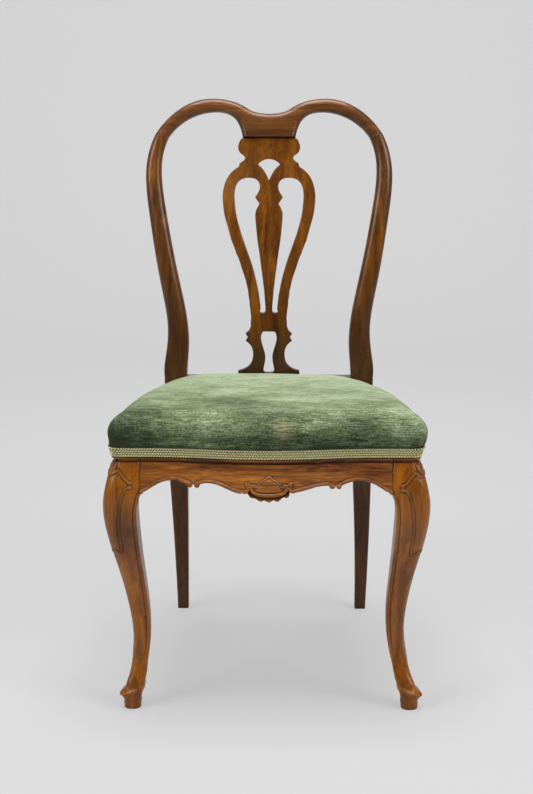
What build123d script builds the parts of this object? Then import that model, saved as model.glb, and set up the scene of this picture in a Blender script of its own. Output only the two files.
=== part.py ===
from build123d import *
import math
import os

# A side chair in walnut: cabriole front legs, raked rear posts, a pierced splat and a stuffed-over seat.
# The chair faces -Y. While modelling, Y is 0 at the front of the moulded lip at the front corners and
# Z is 0 on the floor. At the end every piece moves so that the origin is under the middle of the chair.

# Seat frame
SEAT_WIDTH_FRONT = 500.0  # over the lip at the front corners
SEAT_WIDTH_REAR = 390.0  # over the lip where the side rails meet the rear posts
SEAT_DEPTH = 416.0  # from the lip to the front of the rear posts
LIP_TOP = 440.5  # height of the lip's upper edge
LIP_HEIGHT = 7.0
LIP_NOSE = 3.0  # rounding of the lip's edges
LIP_CORNER = 14.0  # rounding of the lip in plan at the front corners
TACKING_RISE = 14.5  # height of the wood above the lip that the cover is tacked to
RAIL_THICK = 28.0

# Serpentine front rail with a swelling face and a scalloped lower edge
BOW = 15.0  # how far the rail stands forward in the middle
BOW_END = 60.0  # straight length left at each end of the bow
SWELL_RADIUS = 116.0  # the face's upright curve
SWELL_REACH = 15.8  # how far the face comes out past the lip
SWELL_HEIGHT = 372.0  # height where it is fullest
APRON_SPRING = 382.0  # height where the leg's arch meets the rail
APRON_ARCH = 408.0  # top of the arch beside the leg
APRON_ARCH_OUT = 0.723  # places along the rail are shares of its half length
APRON_SCROLL = 394.5  # lowest point of the paired scrolls
APRON_SCROLL_OUT = 0.589
APRON_SCROLL_HALF = 9.0  # half the pair's width
APRON_HOLLOW = 405.0  # top of the hollow inside the scrolls
APRON_HOLLOW_OUT = 0.455
APRON_CENTRE = 388.5  # where the edge meets the shell
SHELL_HALF = 36.0
SHELL_BOTTOM = 373.5
SHELL_LOBES = 5
SHELL_LOBE_REACH = 1.1  # how far the lobes stand out, as a share of the shell's size
SIDE_SWELL_REAR = 4.0  # what is left of the side rails' swell at the rear posts
SIDE_ARCH = 55.0  # from the leg to the top of the side rail's front arch
SIDE_SCROLL = 92.0  # from the leg to the side rail's scroll
SIDE_REAR_EDGE = 396.0  # height of the side rail's lower edge at the rear post

# Cabriole front legs: the faces of a square block are sawn to one curve from the front and from the side
LEG_BLOCK = 48.0  # the block on top of the leg, measured in from the lip
LEG_BLOCK_FOOT = 389.0  # the block's inner faces are flat down to here
KNEE = 365.0
KNEE_REACH = 15.8
KNEE_WIDTH = 57.0
KNEE_LOW = 330.0
KNEE_LOW_REACH = 14.0
KNEE_LOW_WIDTH = 54.0
CALF = 250.0
CALF_REACH = -4.0
CALF_WIDTH = 42.5
SHIN = 184.0
SHIN_REACH = -18.8
SHIN_WIDTH = 34.3
ANKLE = 112.0
ANKLE_REACH = -24.5
ANKLE_WIDTH = 28.0
INSTEP = 62.0
INSTEP_REACH = -14.0
INSTEP_WIDTH = 30.0
TOE = 36.0
TOE_REACH = 3.0
TOE_WIDTH = 40.0
LEG_ARRIS = 17.0  # rounding of the outer corner at the knee
LEG_EDGE = 3.0  # rounding of the other corners at the knee
PLINTH_WIDTH = 27.0  # the small block under the scroll
PLINTH_WAIST = 24.5
PLINTH_HEIGHT = 26.0
PLINTH_IN = 18.0  # from the lip's corner to the plinth's middle
FOOT_KICK_LEFT = -7.0  # the hand-cut legs differ: the left foot stands further in
FOOT_KICK_LEFT_FROM = 200.0  # and its leg turns in from this height
FOOT_KICK_RIGHT = 8.0
FOOT_KICK_RIGHT_FROM = 450.0

# Rear posts: leg, seat block and stile from one plank
POST_WIDTH = 41.0
POST_DEPTH = 44.0
POST_IN = 22.5  # from the lip's rear corner to the post's middle
POST_EDGE = 3.0
BLOCK_LOW = 380.0  # the post is square between these two heights
BLOCK_HIGH = 478.0
REAR_FOOT_WIDTH = 21.0
REAR_FOOT_DEPTH = 24.0
REAR_FOOT_RAKE = 51.0
REAR_KICK_LEFT = -4.5  # the rear legs stand unevenly too
REAR_KICK_RIGHT = 4.5
REAR_SHIN = 200.0
REAR_SHIN_WIDTH = 29.5
REAR_SHIN_DEPTH = 32.0
SHOULDER = 506.0  # the post turns from square to round here
SHOULDER_OUT = -1.3  # the stile's places are counted out from the post's middle
SHOULDER_WIDTH = 42.0
SHOULDER_DEPTH = 38.0
WAIST = 548.0
WAIST_OUT = -4.8
WAIST_WIDTH = 38.6
WAIST_DEPTH = 34.0
STILE_LOW = 625.0
STILE_LOW_OUT = 4.3
STILE_LOW_WIDTH = 35.6
STILE_LOW_DEPTH = 32.0
STILE_MID = 720.0
STILE_MID_OUT = 22.6
STILE_MID_WIDTH = 33.2
STILE_MID_DEPTH = 30.0
STILE_WIDE = 835.0
STILE_WIDE_OUT = 38.6
STILE_WIDE_WIDTH = 29.8
STILE_WIDE_DEPTH = 27.5
STILE_HIGH = 884.0
STILE_HIGH_OUT = 34.8
STILE_HIGH_WIDTH = 27.0
STILE_HIGH_DEPTH = 26.0
STILE_ROUND = 0.44  # corner rounding of the stile as a share of its thinner side
WAIST_ROUND = 0.35
SHOULDER_ROUND = 0.15

# The back: everything above the seat block follows one arc in side view
BACK_RAKE = 72.0
BACK_TOP = 980.0
CREST_JOINT = 915.3  # height where the stiles meet the crest rail
CREST_JOINT_OUT = 22.8
CREST_JOINT_TILT = 19.0  # slope of that joint, in degrees
CREST_ARM = 24.4  # width of the crest rail at the joint
CREST_ARM_LEAN = 31.0  # slope of the arm there, in degrees from upright
CREST_RUN_ON = 20.0  # the blank runs on past its joints before they are cut
CREST_THICK = 25.0
CREST_ROUND = 9.0
CREST_PEAK_OUT = 0.58  # places along the crest are shares of the way to the joint
CREST_SADDLE = 12.5  # how far the top lies under the peaks half way to the middle
CREST_SADDLE_OUT = 0.24
CREST_DIP = 26.5  # and in the middle
CREST_ARCH = 23.5  # thickness of the arch under the peaks
CREST_ARCH_OUT = 0.53
CREST_HAUNCH = 37.0  # from the peaks down to the hollow beside the tablet
CREST_HAUNCH_OUT = 0.31
TABLET_HALF = 48.5  # half width of the middle of the crest rail, at its foot
TABLET_FOOT = 911.5  # height of the middle's lower edge

# Splat: the head is measured down from its top and the foot up from its base
SPLAT_THICK = 11.0
SPLAT_GAP = 3.0  # open joint under the crest rail
SPLAT_EAR = (57.0, 13.5)
SPLAT_EAR_END = (50.0, 26.5)
SPLAT_NOTCH = (44.5, 32.0)
SPLAT_STEP = (54.0, 42.5)
SPLAT_SHOULDER = (55.5, 49.0)
SPLAT_WIDE = (85.0, 109.0)
STRAP_MIDDLE = (50.5, 214.0)  # half way down the straps
FAN_TOP = 35.0
FAN_CORNER = (20.5, 45.0)
FAN_TIP = 73.5
LOOP_TOP = (36.5, 68.5)
LOOP_INSIDE = (17.0, 85.0)
LOOP_CUSP = (25.5, 103.5)
BALUSTER_NECK = (17.5, 115.0)
BALUSTER_WIDE = (24.3, 140.0)
BALUSTER_MIDDLE = (12.2, 228.0)
STRAP_WIDE = 22.0  # width of the straps at their widest place
STRAP_MIDDLE_WIDTH = 21.0
STRAP_LOW = 17.5  # and just above the waist
SPLAT_WAIST = (33.6, 124.0)
SLOT_END = (10.5, 120.5)
BALUSTER_FOOT = (5.8, 138.0)
LOWER_EAR = (43.2, 82.0)
LOWER_NOTCH = (38.7, 75.5)
LOWER_EAR_2 = (43.0, 68.5)
SPLAT_NECK = (29.3, 41.0)
SPLAT_TOE = (57.0, 12.0)
KEY_TOP = (10.5, 86.0)
KEY_WIDE = (14.2, 77.0)
KEY_NECK = (6.5, 38.0)
KEY_FOOT = (9.8, 15.0)
KEY_END = 8.5

# Shoe and rear rail
REAR_RAIL_FORWARD = 8.0  # how far the rear rail stands in front of the posts' front faces
REAR_RAIL_THICK = 48.0
REAR_RAIL_LOW = 396.0
SHOE_DEPTH = 29.0
SHOE_HEIGHT = 19.0
SHOE_COVE = 5.0

# Joints
TENON_THICK = 9.0
TENON_LENGTH = 20.0
TENON_LOW = 408.0
TENON_HIGH = 446.0
TENON_INSET = 11.0  # from the lip to the tenon's outer face
FIT = 0.2  # play round a tenon
GLUE_SPACE = 1.0  # room at the end of a tenon
SPLAT_TENON = 8.0
SPLAT_TENON_TOP_HALF = 30.0
SPLAT_TENON_FOOT_HALF = 40.0
SPLAT_TENON_LENGTH = 11.0
STILE_TENON_WIDTH = 12.0
STILE_TENON_THICK = 9.0
STILE_TENON_LENGTH = 15.0
PEG_DIAMETER = 6.0
PEG_LENGTH = 24.0
PEG_SETBACK = 11.0  # from the joint's shoulder to the pegs
PEG_RISE = 9.0  # from the tenon's ends to the pegs

# Corner blocks and their screws
BLOCK_LEG = 45.0
BLOCK_BOTTOM = 412.0
BLOCK_HEIGHT = 34.0
SCREW_DIAMETER = 4.0
SCREW_HEAD = 8.0
SCREW_HEAD_HEIGHT = 2.4
SCREW_LENGTH = 26.0
SCREW_FROM_END = 16.0  # from the block's point to the screw
SCREW_SEAT = 6.0  # wood left under the screw's head
SCREW_HEAD_PLAY = 0.3

# Upholstery
WEB_WIDTH = 50.0
WEB_THICK = 1.2
WEB_COUNT = 3
WEB_PITCH_LENGTHWISE = 92.0
WEB_PITCH_CROSSWISE = 100.0
WEB_FOLD = 14.0  # turned-over end of a strap
WEB_EDGE = 2.0  # from the strap's end to the lining
TACK_HEAD = 7.0
TACK_HEAD_SIDES = 8
TACK_HEAD_HEIGHT = 0.8
TACK_SHANK = 1.8
TACK_LENGTH = 9.0
TACKS_PER_END = 3
TACK_FROM_END = 6.0
HESSIAN_THICK = 0.8
LAYER_GAP = 0.3  # clear space between soft layers
LINEN_THICK = 1.0
VELVET_THICK = 2.5
BRAID_HEIGHT = 17.0
BRAID_THICK = 2.6
BRAID_INSET = 0.6  # from the lip's face to the braid
BRAID_LEAN = 4.0  # how far the braid leans out over its height
SEAT_PROFILE = [  # rise above the lip, inset from it, drop towards the back, inset at the back
    (24.0, -6.0, 5.0, 0.0),
    (33.0, -10.0, 12.0, 0.0),
    (44.0, -9.0, 17.0, 0.0),
    (54.0, -3.0, 21.0, 2.0),
    (61.0, 8.0, 24.0, 6.0),
    (65.5, 26.0, 26.0, 14.0),
    (69.0, 60.0, 27.0, 50.0),
]
SEAT_CROWN = (71.0, 110.0, 27.0, 110.0)
SEAT_CROWN_BOW = 0.45  # how much of the front's bow is left at the crown
SEAT_CORNER = 26.0  # rounding of the padded corners in plan
SEAT_REAR_CLEAR = 1.0  # from the cover to the shoe and the posts

# Worked out from the values above
LIP_LOW = LIP_TOP - LIP_HEIGHT
RAIL_TOP = LIP_TOP + TACKING_RISE
COVER_INSET = BRAID_INSET + BRAID_THICK
TACKING_REBATE = COVER_INSET + VELVET_THICK + LAYER_GAP  # the tacked wood is set back this far
LINEN_SKIN = VELVET_THICK + LAYER_GAP
PAD_SKIN = LINEN_SKIN + LINEN_THICK + LAYER_GAP
WEB_INSET = COVER_INSET + PAD_SKIN + WEB_EDGE
WEB_TOP = LIP_TOP + TACKING_RISE + 2 * WEB_THICK
HESSIAN_LOW = WEB_TOP + TACK_HEAD_HEIGHT
HALF_FRONT = SEAT_WIDTH_FRONT / 2
HALF_REAR = SEAT_WIDTH_REAR / 2
BOW_HALF = HALF_FRONT - BOW_END
PLINTH_OUT = HALF_FRONT - PLINTH_IN
POST_OUT = HALF_REAR - POST_IN
SPLAY = (HALF_FRONT - HALF_REAR) / SEAT_DEPTH
POST_Y = SEAT_DEPTH + POST_DEPTH / 2
POST_INNER = POST_OUT - POST_WIDTH / 2
POST_OUTER = POST_OUT + POST_WIDTH / 2
LEG_INNER = HALF_FRONT - LEG_BLOCK
REAR_RAIL_FRONT = SEAT_DEPTH - REAR_RAIL_FORWARD
REAR_RAIL_BACK = REAR_RAIL_FRONT + REAR_RAIL_THICK
SHOE_BACK = REAR_RAIL_BACK
SHOE_FRONT = SHOE_BACK - SHOE_DEPTH
COVER_BACK = SHOE_FRONT - SEAT_REAR_CLEAR
SHOE_TOP = RAIL_TOP + SHOE_HEIGHT
SPLAT_BASE = SHOE_TOP
SPLAT_TOP = TABLET_FOOT - SPLAT_GAP
BACK_RISE = BACK_TOP - BLOCK_HIGH
BACK_RADIUS = (BACK_RISE**2 + BACK_RAKE**2) / (2 * BACK_RAKE)
FOOT_RADIUS = (BLOCK_LOW**2 + REAR_FOOT_RAKE**2) / (2 * REAR_FOOT_RAKE)
FLOOR_CUT = 40.0  # the rear legs run on this far under the floor and are cut off flat
FAR = 2000.0  # reach of cutting blocks


def bow_at(x):
    """How far the front rail's lip stands forward at x: one convex arc between two hollow ones."""
    radius = (BOW_HALF**2 + BOW**2) / (4 * BOW)
    out = min(abs(x), BOW_HALF)
    if out < BOW_HALF / 2:
        return BOW - radius + math.sqrt(radius**2 - out**2)
    return radius - math.sqrt(radius**2 - (BOW_HALF - out) ** 2)


def swell_at(z):
    """How far the swelling face stands past the lip at height z."""
    return SWELL_REACH - SWELL_RADIUS + math.sqrt(SWELL_RADIUS**2 - (z - SWELL_HEIGHT) ** 2)


def lip_x(y):
    """Half width over the lip at depth y."""
    return HALF_FRONT - SPLAY * y


def back_y(z):
    """Depth of the back's middle at height z."""
    above = max(z - BLOCK_HIGH, 0.0)
    below = max(BLOCK_LOW - z, 0.0)
    lean = BACK_RADIUS - math.sqrt(BACK_RADIUS**2 - above**2)
    rake = FOOT_RADIUS - math.sqrt(FOOT_RADIUS**2 - below**2)
    return POST_Y + lean + rake


def block(x0, x1, y0, y1, z0, z1):
    """A rectangular block between two corners."""
    size = Box(x1 - x0, y1 - y0, z1 - z0)
    return Pos((x0 + x1) / 2, (y0 + y1) / 2, (z0 + z1) / 2) * size


def mirrored(piece):
    return mirror(piece, about=Plane.YZ)


def lip_corner(inset):
    """Corner rounding of a line this far inside the lip."""
    return LIP_CORNER - inset


def seat_outline(inset, corner, rear, bow=1.0):
    """Plan of the seat up to depth rear, this far inside the lip, with this share of the bow."""
    side = math.hypot(1.0, SPLAY)
    front_corner = lip_x(inset) - inset * side
    rear_corner = lip_x(rear) - inset * side
    end = BOW_HALF * bow

    def on_bow(share):
        return (end * share, inset - bow_at(BOW_HALF * share) * bow)

    right = FilletPolyline(
        (rear_corner, rear), (front_corner, inset), (end, inset), radius=[corner]
    )
    hollow = ThreePointArc((end, inset), on_bow(0.75), on_bow(0.5))
    belly = ThreePointArc(on_bow(0.5), on_bow(0.0), on_bow(-0.5))
    back = Line((-rear_corner, rear), (rear_corner, rear))
    half = right.edges() + [hollow]
    return make_face(half + [belly, back] + [mirrored(edge) for edge in half])


def rail_profile(swell, thick, low):
    """Upright section of a rail: X is out from the lip's face and Y is height."""
    start = LIP_LOW
    middle = (start + low) / 2
    share = swell / SWELL_REACH

    def reach(z):
        return swell_at(z) * share if swell_at(z) > 0 else swell_at(z)

    outline = [
        Line((-thick, low), (-thick, RAIL_TOP)),
        Line((-thick, RAIL_TOP), (-TACKING_REBATE, RAIL_TOP)),
        Line((-TACKING_REBATE, RAIL_TOP), (-TACKING_REBATE, LIP_TOP)),
        Line((-TACKING_REBATE, LIP_TOP), (-LIP_NOSE, LIP_TOP)),
        RadiusArc((-LIP_NOSE, LIP_TOP), (0, LIP_TOP - LIP_NOSE), LIP_NOSE),
        Line((0, LIP_TOP - LIP_NOSE), (0, LIP_LOW + LIP_NOSE)),
        RadiusArc((0, LIP_LOW + LIP_NOSE), (-LIP_NOSE, LIP_LOW), LIP_NOSE),
        ThreePointArc((-LIP_NOSE, LIP_LOW), (reach(middle), middle), (reach(low), low)),
        Line((reach(low), low), (-thick, low)),
    ]
    return make_face(outline)


def front_leg(kick, kick_from):
    """The right front leg, with its foot moved out by kick from this height down."""

    def section(z, reach, width, arris, edge, lean):
        share = min(max((kick_from - z) / (kick_from - TOE), 0.0), 1.0)
        out = HALF_FRONT + reach + kick * share**2
        inner = out - width
        front = -reach
        back = front + width
        points = [(inner, front), (out, front), (out - lean * width, back), (inner, back)]
        return Pos(0, 0, z) * make_face(
            FilletPolyline(*points, radius=[edge, arris, edge, edge], close=True)
        )

    def block_section(z):
        reach = swell_at(z)
        return section(z, reach, LEG_BLOCK + reach, LEG_ARRIS, LEG_EDGE, SPLAY)

    ankle_round = ANKLE_WIDTH * STILE_ROUND
    toe = section(TOE, TOE_REACH, TOE_WIDTH, ankle_round, LEG_EDGE, 0)
    upper = loft(
        [
            block_section(LIP_LOW),
            block_section((LIP_LOW + LEG_BLOCK_FOOT) / 2),
            block_section(LEG_BLOCK_FOOT),
            section(KNEE, KNEE_REACH, KNEE_WIDTH, LEG_ARRIS, LEG_EDGE, 0),
            section(KNEE_LOW, KNEE_LOW_REACH, KNEE_LOW_WIDTH, LEG_ARRIS, LEG_EDGE, 0),
            section(CALF, CALF_REACH, CALF_WIDTH, LEG_ARRIS, LEG_EDGE, 0),
            section(SHIN, SHIN_REACH, SHIN_WIDTH, ankle_round, LEG_EDGE, 0),
            section(ANKLE, ANKLE_REACH, ANKLE_WIDTH, ankle_round, LEG_EDGE, 0),
            section(INSTEP, INSTEP_REACH, INSTEP_WIDTH, ankle_round, LEG_EDGE, 0),
            toe,
        ]
    )
    above_knee = block(LEG_INNER, FAR, -FAR, LEG_BLOCK, APRON_SPRING, FAR)
    upper = (upper & above_knee) + (upper - block(-FAR, FAR, -FAR, FAR, APRON_SPRING, FAR))

    def plinth_section(z, width):
        reach = PLINTH_OUT + width / 2 - HALF_FRONT
        rounding = PLINTH_WAIST * STILE_ROUND
        return section(z, reach, width, rounding, rounding, 0)

    plinth_top = plinth_section(PLINTH_HEIGHT, PLINTH_WIDTH)
    scroll = loft([toe, plinth_top], ruled=True)
    plinth = loft(
        [plinth_top, plinth_section(PLINTH_HEIGHT / 2, PLINTH_WAIST), plinth_section(0, PLINTH_WAIST)]
    )

    lip_points = [
        (LEG_INNER, 0),
        (HALF_FRONT, 0),
        (lip_x(LEG_BLOCK), LEG_BLOCK),
        (LEG_INNER, LEG_BLOCK),
    ]
    lip_face = make_face(FilletPolyline(*lip_points, radius=[0, LIP_CORNER, 0, 0], close=True))
    lip = Pos(0, 0, LIP_LOW) * extrude(lip_face, LIP_HEIGHT)
    shown = [face for face in lip.faces() if face.normal_at().X > 0.5 or face.normal_at().Y < -0.5]
    rims = [edge for face in shown for edge in face.edges() if abs(edge.tangent_at(0).Z) < 0.5]
    lip = fillet(rims, LIP_NOSE)
    set_back = TACKING_REBATE
    tack_points = [
        (LEG_INNER, set_back),
        (lip_x(set_back) - set_back, set_back),
        (lip_x(LEG_BLOCK) - set_back, LEG_BLOCK),
        (LEG_INNER, LEG_BLOCK),
    ]
    tack_face = make_face(
        FilletPolyline(*tack_points, radius=[0, lip_corner(set_back), 0, 0], close=True)
    )
    tacking = Pos(0, 0, LIP_TOP) * extrude(tack_face, TACKING_RISE)
    leg = upper + scroll + plinth + lip + tacking
    leg -= front_tenon(FIT, GLUE_SPACE) + side_front_tenon(FIT, GLUE_SPACE)
    return leg


def front_tenon(play, room):
    """The front rail's right tenon, with play for its mortise."""
    return block(
        LEG_INNER - room,
        LEG_INNER + TENON_LENGTH + room,
        TENON_INSET - play,
        TENON_INSET + TENON_THICK + play,
        TENON_LOW - play,
        TENON_HIGH + play,
    )


def side_front_tenon(play, room):
    """The right side rail's tenon in the front leg, with play for its mortise."""
    outer = lip_x(LEG_BLOCK) - TENON_INSET
    return block(
        outer - TENON_THICK - play,
        outer + play,
        LEG_BLOCK - TENON_LENGTH - room,
        LEG_BLOCK + room,
        TENON_LOW - play,
        TENON_HIGH + play,
    )


def side_rear_tenon(play, room):
    """The right side rail's tenon in the rear post, with play for its mortise."""
    outer = HALF_REAR - TENON_INSET
    return block(
        outer - TENON_THICK - play,
        outer + play,
        SEAT_DEPTH - room,
        SEAT_DEPTH + TENON_LENGTH + room,
        TENON_LOW - play,
        TENON_HIGH + play,
    )


def rear_tenon(play, room):
    """The rear rail's right tenon, with play for its mortise."""
    back = REAR_RAIL_BACK - TENON_INSET
    return block(
        POST_INNER - room,
        POST_INNER + TENON_LENGTH + room,
        back - TENON_THICK - play,
        back + play,
        TENON_LOW - play,
        TENON_HIGH + play,
    )


def front_seat_rail():
    """The serpentine front rail: a section swept along the bow, then sawn to its scalloped edge."""

    def on_bow(share):
        return (BOW_HALF * share, -bow_at(BOW_HALF * share))

    path = Wire(
        [
            Line((-LEG_INNER, 0), on_bow(-1.0)),
            ThreePointArc(on_bow(-1.0), on_bow(-0.75), on_bow(-0.5)),
            ThreePointArc(on_bow(-0.5), on_bow(0.0), on_bow(0.5)),
            ThreePointArc(on_bow(0.5), on_bow(0.75), on_bow(1.0)),
            Line(on_bow(1.0), (LEG_INNER, 0)),
        ]
    )
    start = Plane(origin=(-LEG_INNER, 0, 0), x_dir=(0, -1, 0), z_dir=(-1, 0, 0))
    rail = sweep(start * rail_profile(SWELL_REACH, RAIL_THICK, SHELL_BOTTOM), path)
    rail &= extrude(Plane.XZ * apron_face(), FAR, both=True)
    return rail + front_tenon(0, 0) + mirrored(front_tenon(0, 0))


def apron_face():
    """Front view of the front rail, with the arches, the paired scrolls and the shell's lobes."""
    top = RAIL_TOP + LIP_HEIGHT
    scroll_in = LEG_INNER * APRON_SCROLL_OUT - APRON_SCROLL_HALF
    scroll_out = LEG_INNER * APRON_SCROLL_OUT + APRON_SCROLL_HALF
    arch = Spline(
        (LEG_INNER, APRON_SPRING),
        (LEG_INNER * APRON_ARCH_OUT, APRON_ARCH),
        (scroll_out, APRON_SCROLL),
        tangents=[(-1, 1), (-1, -1)],
    )
    pair = Line((scroll_out, APRON_SCROLL), (scroll_in, APRON_SCROLL))
    hollow = Spline(
        (scroll_in, APRON_SCROLL),
        (LEG_INNER * APRON_HOLLOW_OUT, APRON_HOLLOW),
        (SHELL_HALF, APRON_CENTRE),
        tangents=[(-1, 1), (-1, 0)],
    )
    right = [Line((LEG_INNER, top), (LEG_INNER, APRON_SPRING)), arch, pair, hollow]
    left = [mirrored(edge) for edge in right]
    sweep_angle = math.pi / SHELL_LOBES
    drop = APRON_CENTRE - SHELL_BOTTOM

    def on_shell(angle, reach):
        return (SHELL_HALF * reach * math.cos(angle), APRON_CENTRE - drop * reach * math.sin(angle))

    lobes = [
        ThreePointArc(
            on_shell(k * sweep_angle, 1.0),
            on_shell((k + 0.5) * sweep_angle, SHELL_LOBE_REACH),
            on_shell((k + 1) * sweep_angle, 1.0),
        )
        for k in range(SHELL_LOBES)
    ]
    closing = Line((-LEG_INNER, top), (LEG_INNER, top))
    return make_face(right + lobes + left + [closing])


def side_seat_rail():
    """The right side rail: splayed, with a swell that dies away towards the rear post."""
    front = Plane(origin=(lip_x(LEG_BLOCK), LEG_BLOCK, 0), x_dir=(1, 0, 0), z_dir=(0, -1, 0))
    rear = Plane(origin=(HALF_REAR, SEAT_DEPTH, 0), x_dir=(1, 0, 0), z_dir=(0, -1, 0))
    rail = loft(
        [
            front * rail_profile(SWELL_REACH, RAIL_THICK, SHELL_BOTTOM),
            rear * rail_profile(SIDE_SWELL_REAR, RAIL_THICK, SHELL_BOTTOM),
        ]
    )
    top = RAIL_TOP + LIP_HEIGHT
    scroll = LEG_BLOCK + SIDE_SCROLL
    edge = [
        Spline(
            (LEG_BLOCK, APRON_SPRING),
            (LEG_BLOCK + SIDE_ARCH, APRON_ARCH),
            (scroll - APRON_SCROLL_HALF, APRON_SCROLL),
            tangents=[(1, 1), (1, -1)],
        ),
        Line((scroll - APRON_SCROLL_HALF, APRON_SCROLL), (scroll + APRON_SCROLL_HALF, APRON_SCROLL)),
        Spline(
            (scroll + APRON_SCROLL_HALF, APRON_SCROLL),
            ((scroll + SEAT_DEPTH) / 2, APRON_HOLLOW),
            (SEAT_DEPTH, SIDE_REAR_EDGE),
            tangents=[(1, 1), (1, 0)],
        ),
        Line((SEAT_DEPTH, SIDE_REAR_EDGE), (SEAT_DEPTH, top)),
        Line((SEAT_DEPTH, top), (LEG_BLOCK, top)),
        Line((LEG_BLOCK, top), (LEG_BLOCK, APRON_SPRING)),
    ]
    rail &= extrude(Plane.YZ * make_face(edge), FAR, both=True)
    return rail + side_front_tenon(0, 0) + side_rear_tenon(0, 0)


def rear_seat_rail():
    """The plain rear rail between the posts."""
    rail = block(-POST_INNER, POST_INNER, REAR_RAIL_FRONT, REAR_RAIL_BACK, REAR_RAIL_LOW, RAIL_TOP)
    return rail + rear_tenon(0, 0) + mirrored(rear_tenon(0, 0))


def post_path():
    """Stations of the right stile above its block: height, place, width, depth and share of rounding."""
    square = POST_EDGE / POST_WIDTH
    return [
        (BLOCK_HIGH, 0.0, POST_WIDTH, POST_DEPTH, square),
        (SHOULDER, SHOULDER_OUT, SHOULDER_WIDTH, SHOULDER_DEPTH, SHOULDER_ROUND),
        (WAIST, WAIST_OUT, WAIST_WIDTH, WAIST_DEPTH, WAIST_ROUND),
        (STILE_LOW, STILE_LOW_OUT, STILE_LOW_WIDTH, STILE_LOW_DEPTH, STILE_ROUND),
        (STILE_MID, STILE_MID_OUT, STILE_MID_WIDTH, STILE_MID_DEPTH, STILE_ROUND),
        (STILE_WIDE, STILE_WIDE_OUT, STILE_WIDE_WIDTH, STILE_WIDE_DEPTH, STILE_ROUND),
        (STILE_HIGH, STILE_HIGH_OUT, STILE_HIGH_WIDTH, STILE_HIGH_DEPTH, STILE_ROUND),
    ]


def across_section(place, along, width, depth, rounding):
    """A rounded section square to a post's run, with its width across the back."""
    front = Vector(0, -along.Z, along.Y).normalized()
    plane = Plane(origin=place, x_dir=along.cross(front), z_dir=along)
    return plane * RectangleRounded(width, depth, rounding)


def crest_plane():
    """The crest rail's middle plane: origin between the stile joints, X across and Y up the rake."""
    lean = math.asin((CREST_JOINT - BLOCK_HIGH) / BACK_RADIUS)
    return Plane(
        origin=(0, back_y(CREST_JOINT), CREST_JOINT),
        x_dir=(1, 0, 0),
        z_dir=(0, -math.cos(lean), math.sin(lean)),
    )


def crest_joint_plane():
    """The plane of the right stile's joint with the crest rail, facing up along the stile."""
    board = crest_plane()
    tilt = math.radians(CREST_JOINT_TILT)
    along = board.y_dir * math.cos(tilt) - board.x_dir * math.sin(tilt)
    return Plane(
        origin=board.origin + board.x_dir * (POST_OUT + CREST_JOINT_OUT),
        x_dir=board.x_dir * math.cos(tilt) + board.y_dir * math.sin(tilt),
        z_dir=along,
    )


def stile_tenon(play, room):
    """The tenon on top of the right stile, with play for its mortise."""
    tenon = Box(
        STILE_TENON_WIDTH + 2 * play,
        STILE_TENON_THICK + 2 * play,
        STILE_TENON_LENGTH + 2 * room,
    )
    return crest_joint_plane() * Pos(0, 0, STILE_TENON_LENGTH / 2) * tenon


def rear_post(kick):
    """The right rear post: raked leg, square block and stile, with its foot moved out by kick."""
    middle = block(
        POST_INNER, POST_OUTER, SEAT_DEPTH, SEAT_DEPTH + POST_DEPTH, BLOCK_LOW, BLOCK_HIGH
    )
    middle = fillet(middle.edges().filter_by(Axis.Z), POST_EDGE)

    stations = post_path()
    places = [Vector(POST_OUT + out, back_y(z), z) for z, out, _, _, _ in stations]
    joint = crest_joint_plane()
    places.append(joint.origin)
    sections = []
    for k, (z, out, width, depth, rounding) in enumerate(stations):
        along = (places[k + 1] - places[k - 1]).normalized() if k else Vector(0, 0, 1)
        sections.append(across_section(places[k], along, width, depth, rounding * min(width, depth)))
    end = joint * RectangleRounded(CREST_ARM, CREST_THICK, CREST_ROUND)
    stile = loft(sections + [end])

    def leg_section(z, out, width, depth, along):
        return across_section(Vector(POST_OUT + out, back_y(z), z), along, width, depth, POST_EDGE)

    def leg_run(z):
        slope = (BLOCK_LOW - z) / FOOT_RADIUS
        return Vector(0, -slope, math.sqrt(1 - slope**2))

    foot_rate = (REAR_SHIN_WIDTH - REAR_FOOT_WIDTH) / REAR_SHIN
    foot_depth_rate = (REAR_SHIN_DEPTH - REAR_FOOT_DEPTH) / REAR_SHIN
    leg = loft(
        [
            leg_section(BLOCK_LOW, 0, POST_WIDTH, POST_DEPTH, Vector(0, 0, 1)),
            leg_section(REAR_SHIN, kick, REAR_SHIN_WIDTH, REAR_SHIN_DEPTH, leg_run(REAR_SHIN)),
            leg_section(
                -FLOOR_CUT,
                kick,
                REAR_FOOT_WIDTH - foot_rate * FLOOR_CUT,
                REAR_FOOT_DEPTH - foot_depth_rate * FLOOR_CUT,
                leg_run(-FLOOR_CUT),
            ),
        ]
    )
    leg -= block(-FAR, FAR, -FAR, FAR, -FAR, 0)
    post = leg + middle + stile + stile_tenon(0, 0)
    return post - (side_rear_tenon(FIT, GLUE_SPACE) + rear_tenon(FIT, GLUE_SPACE))


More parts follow.
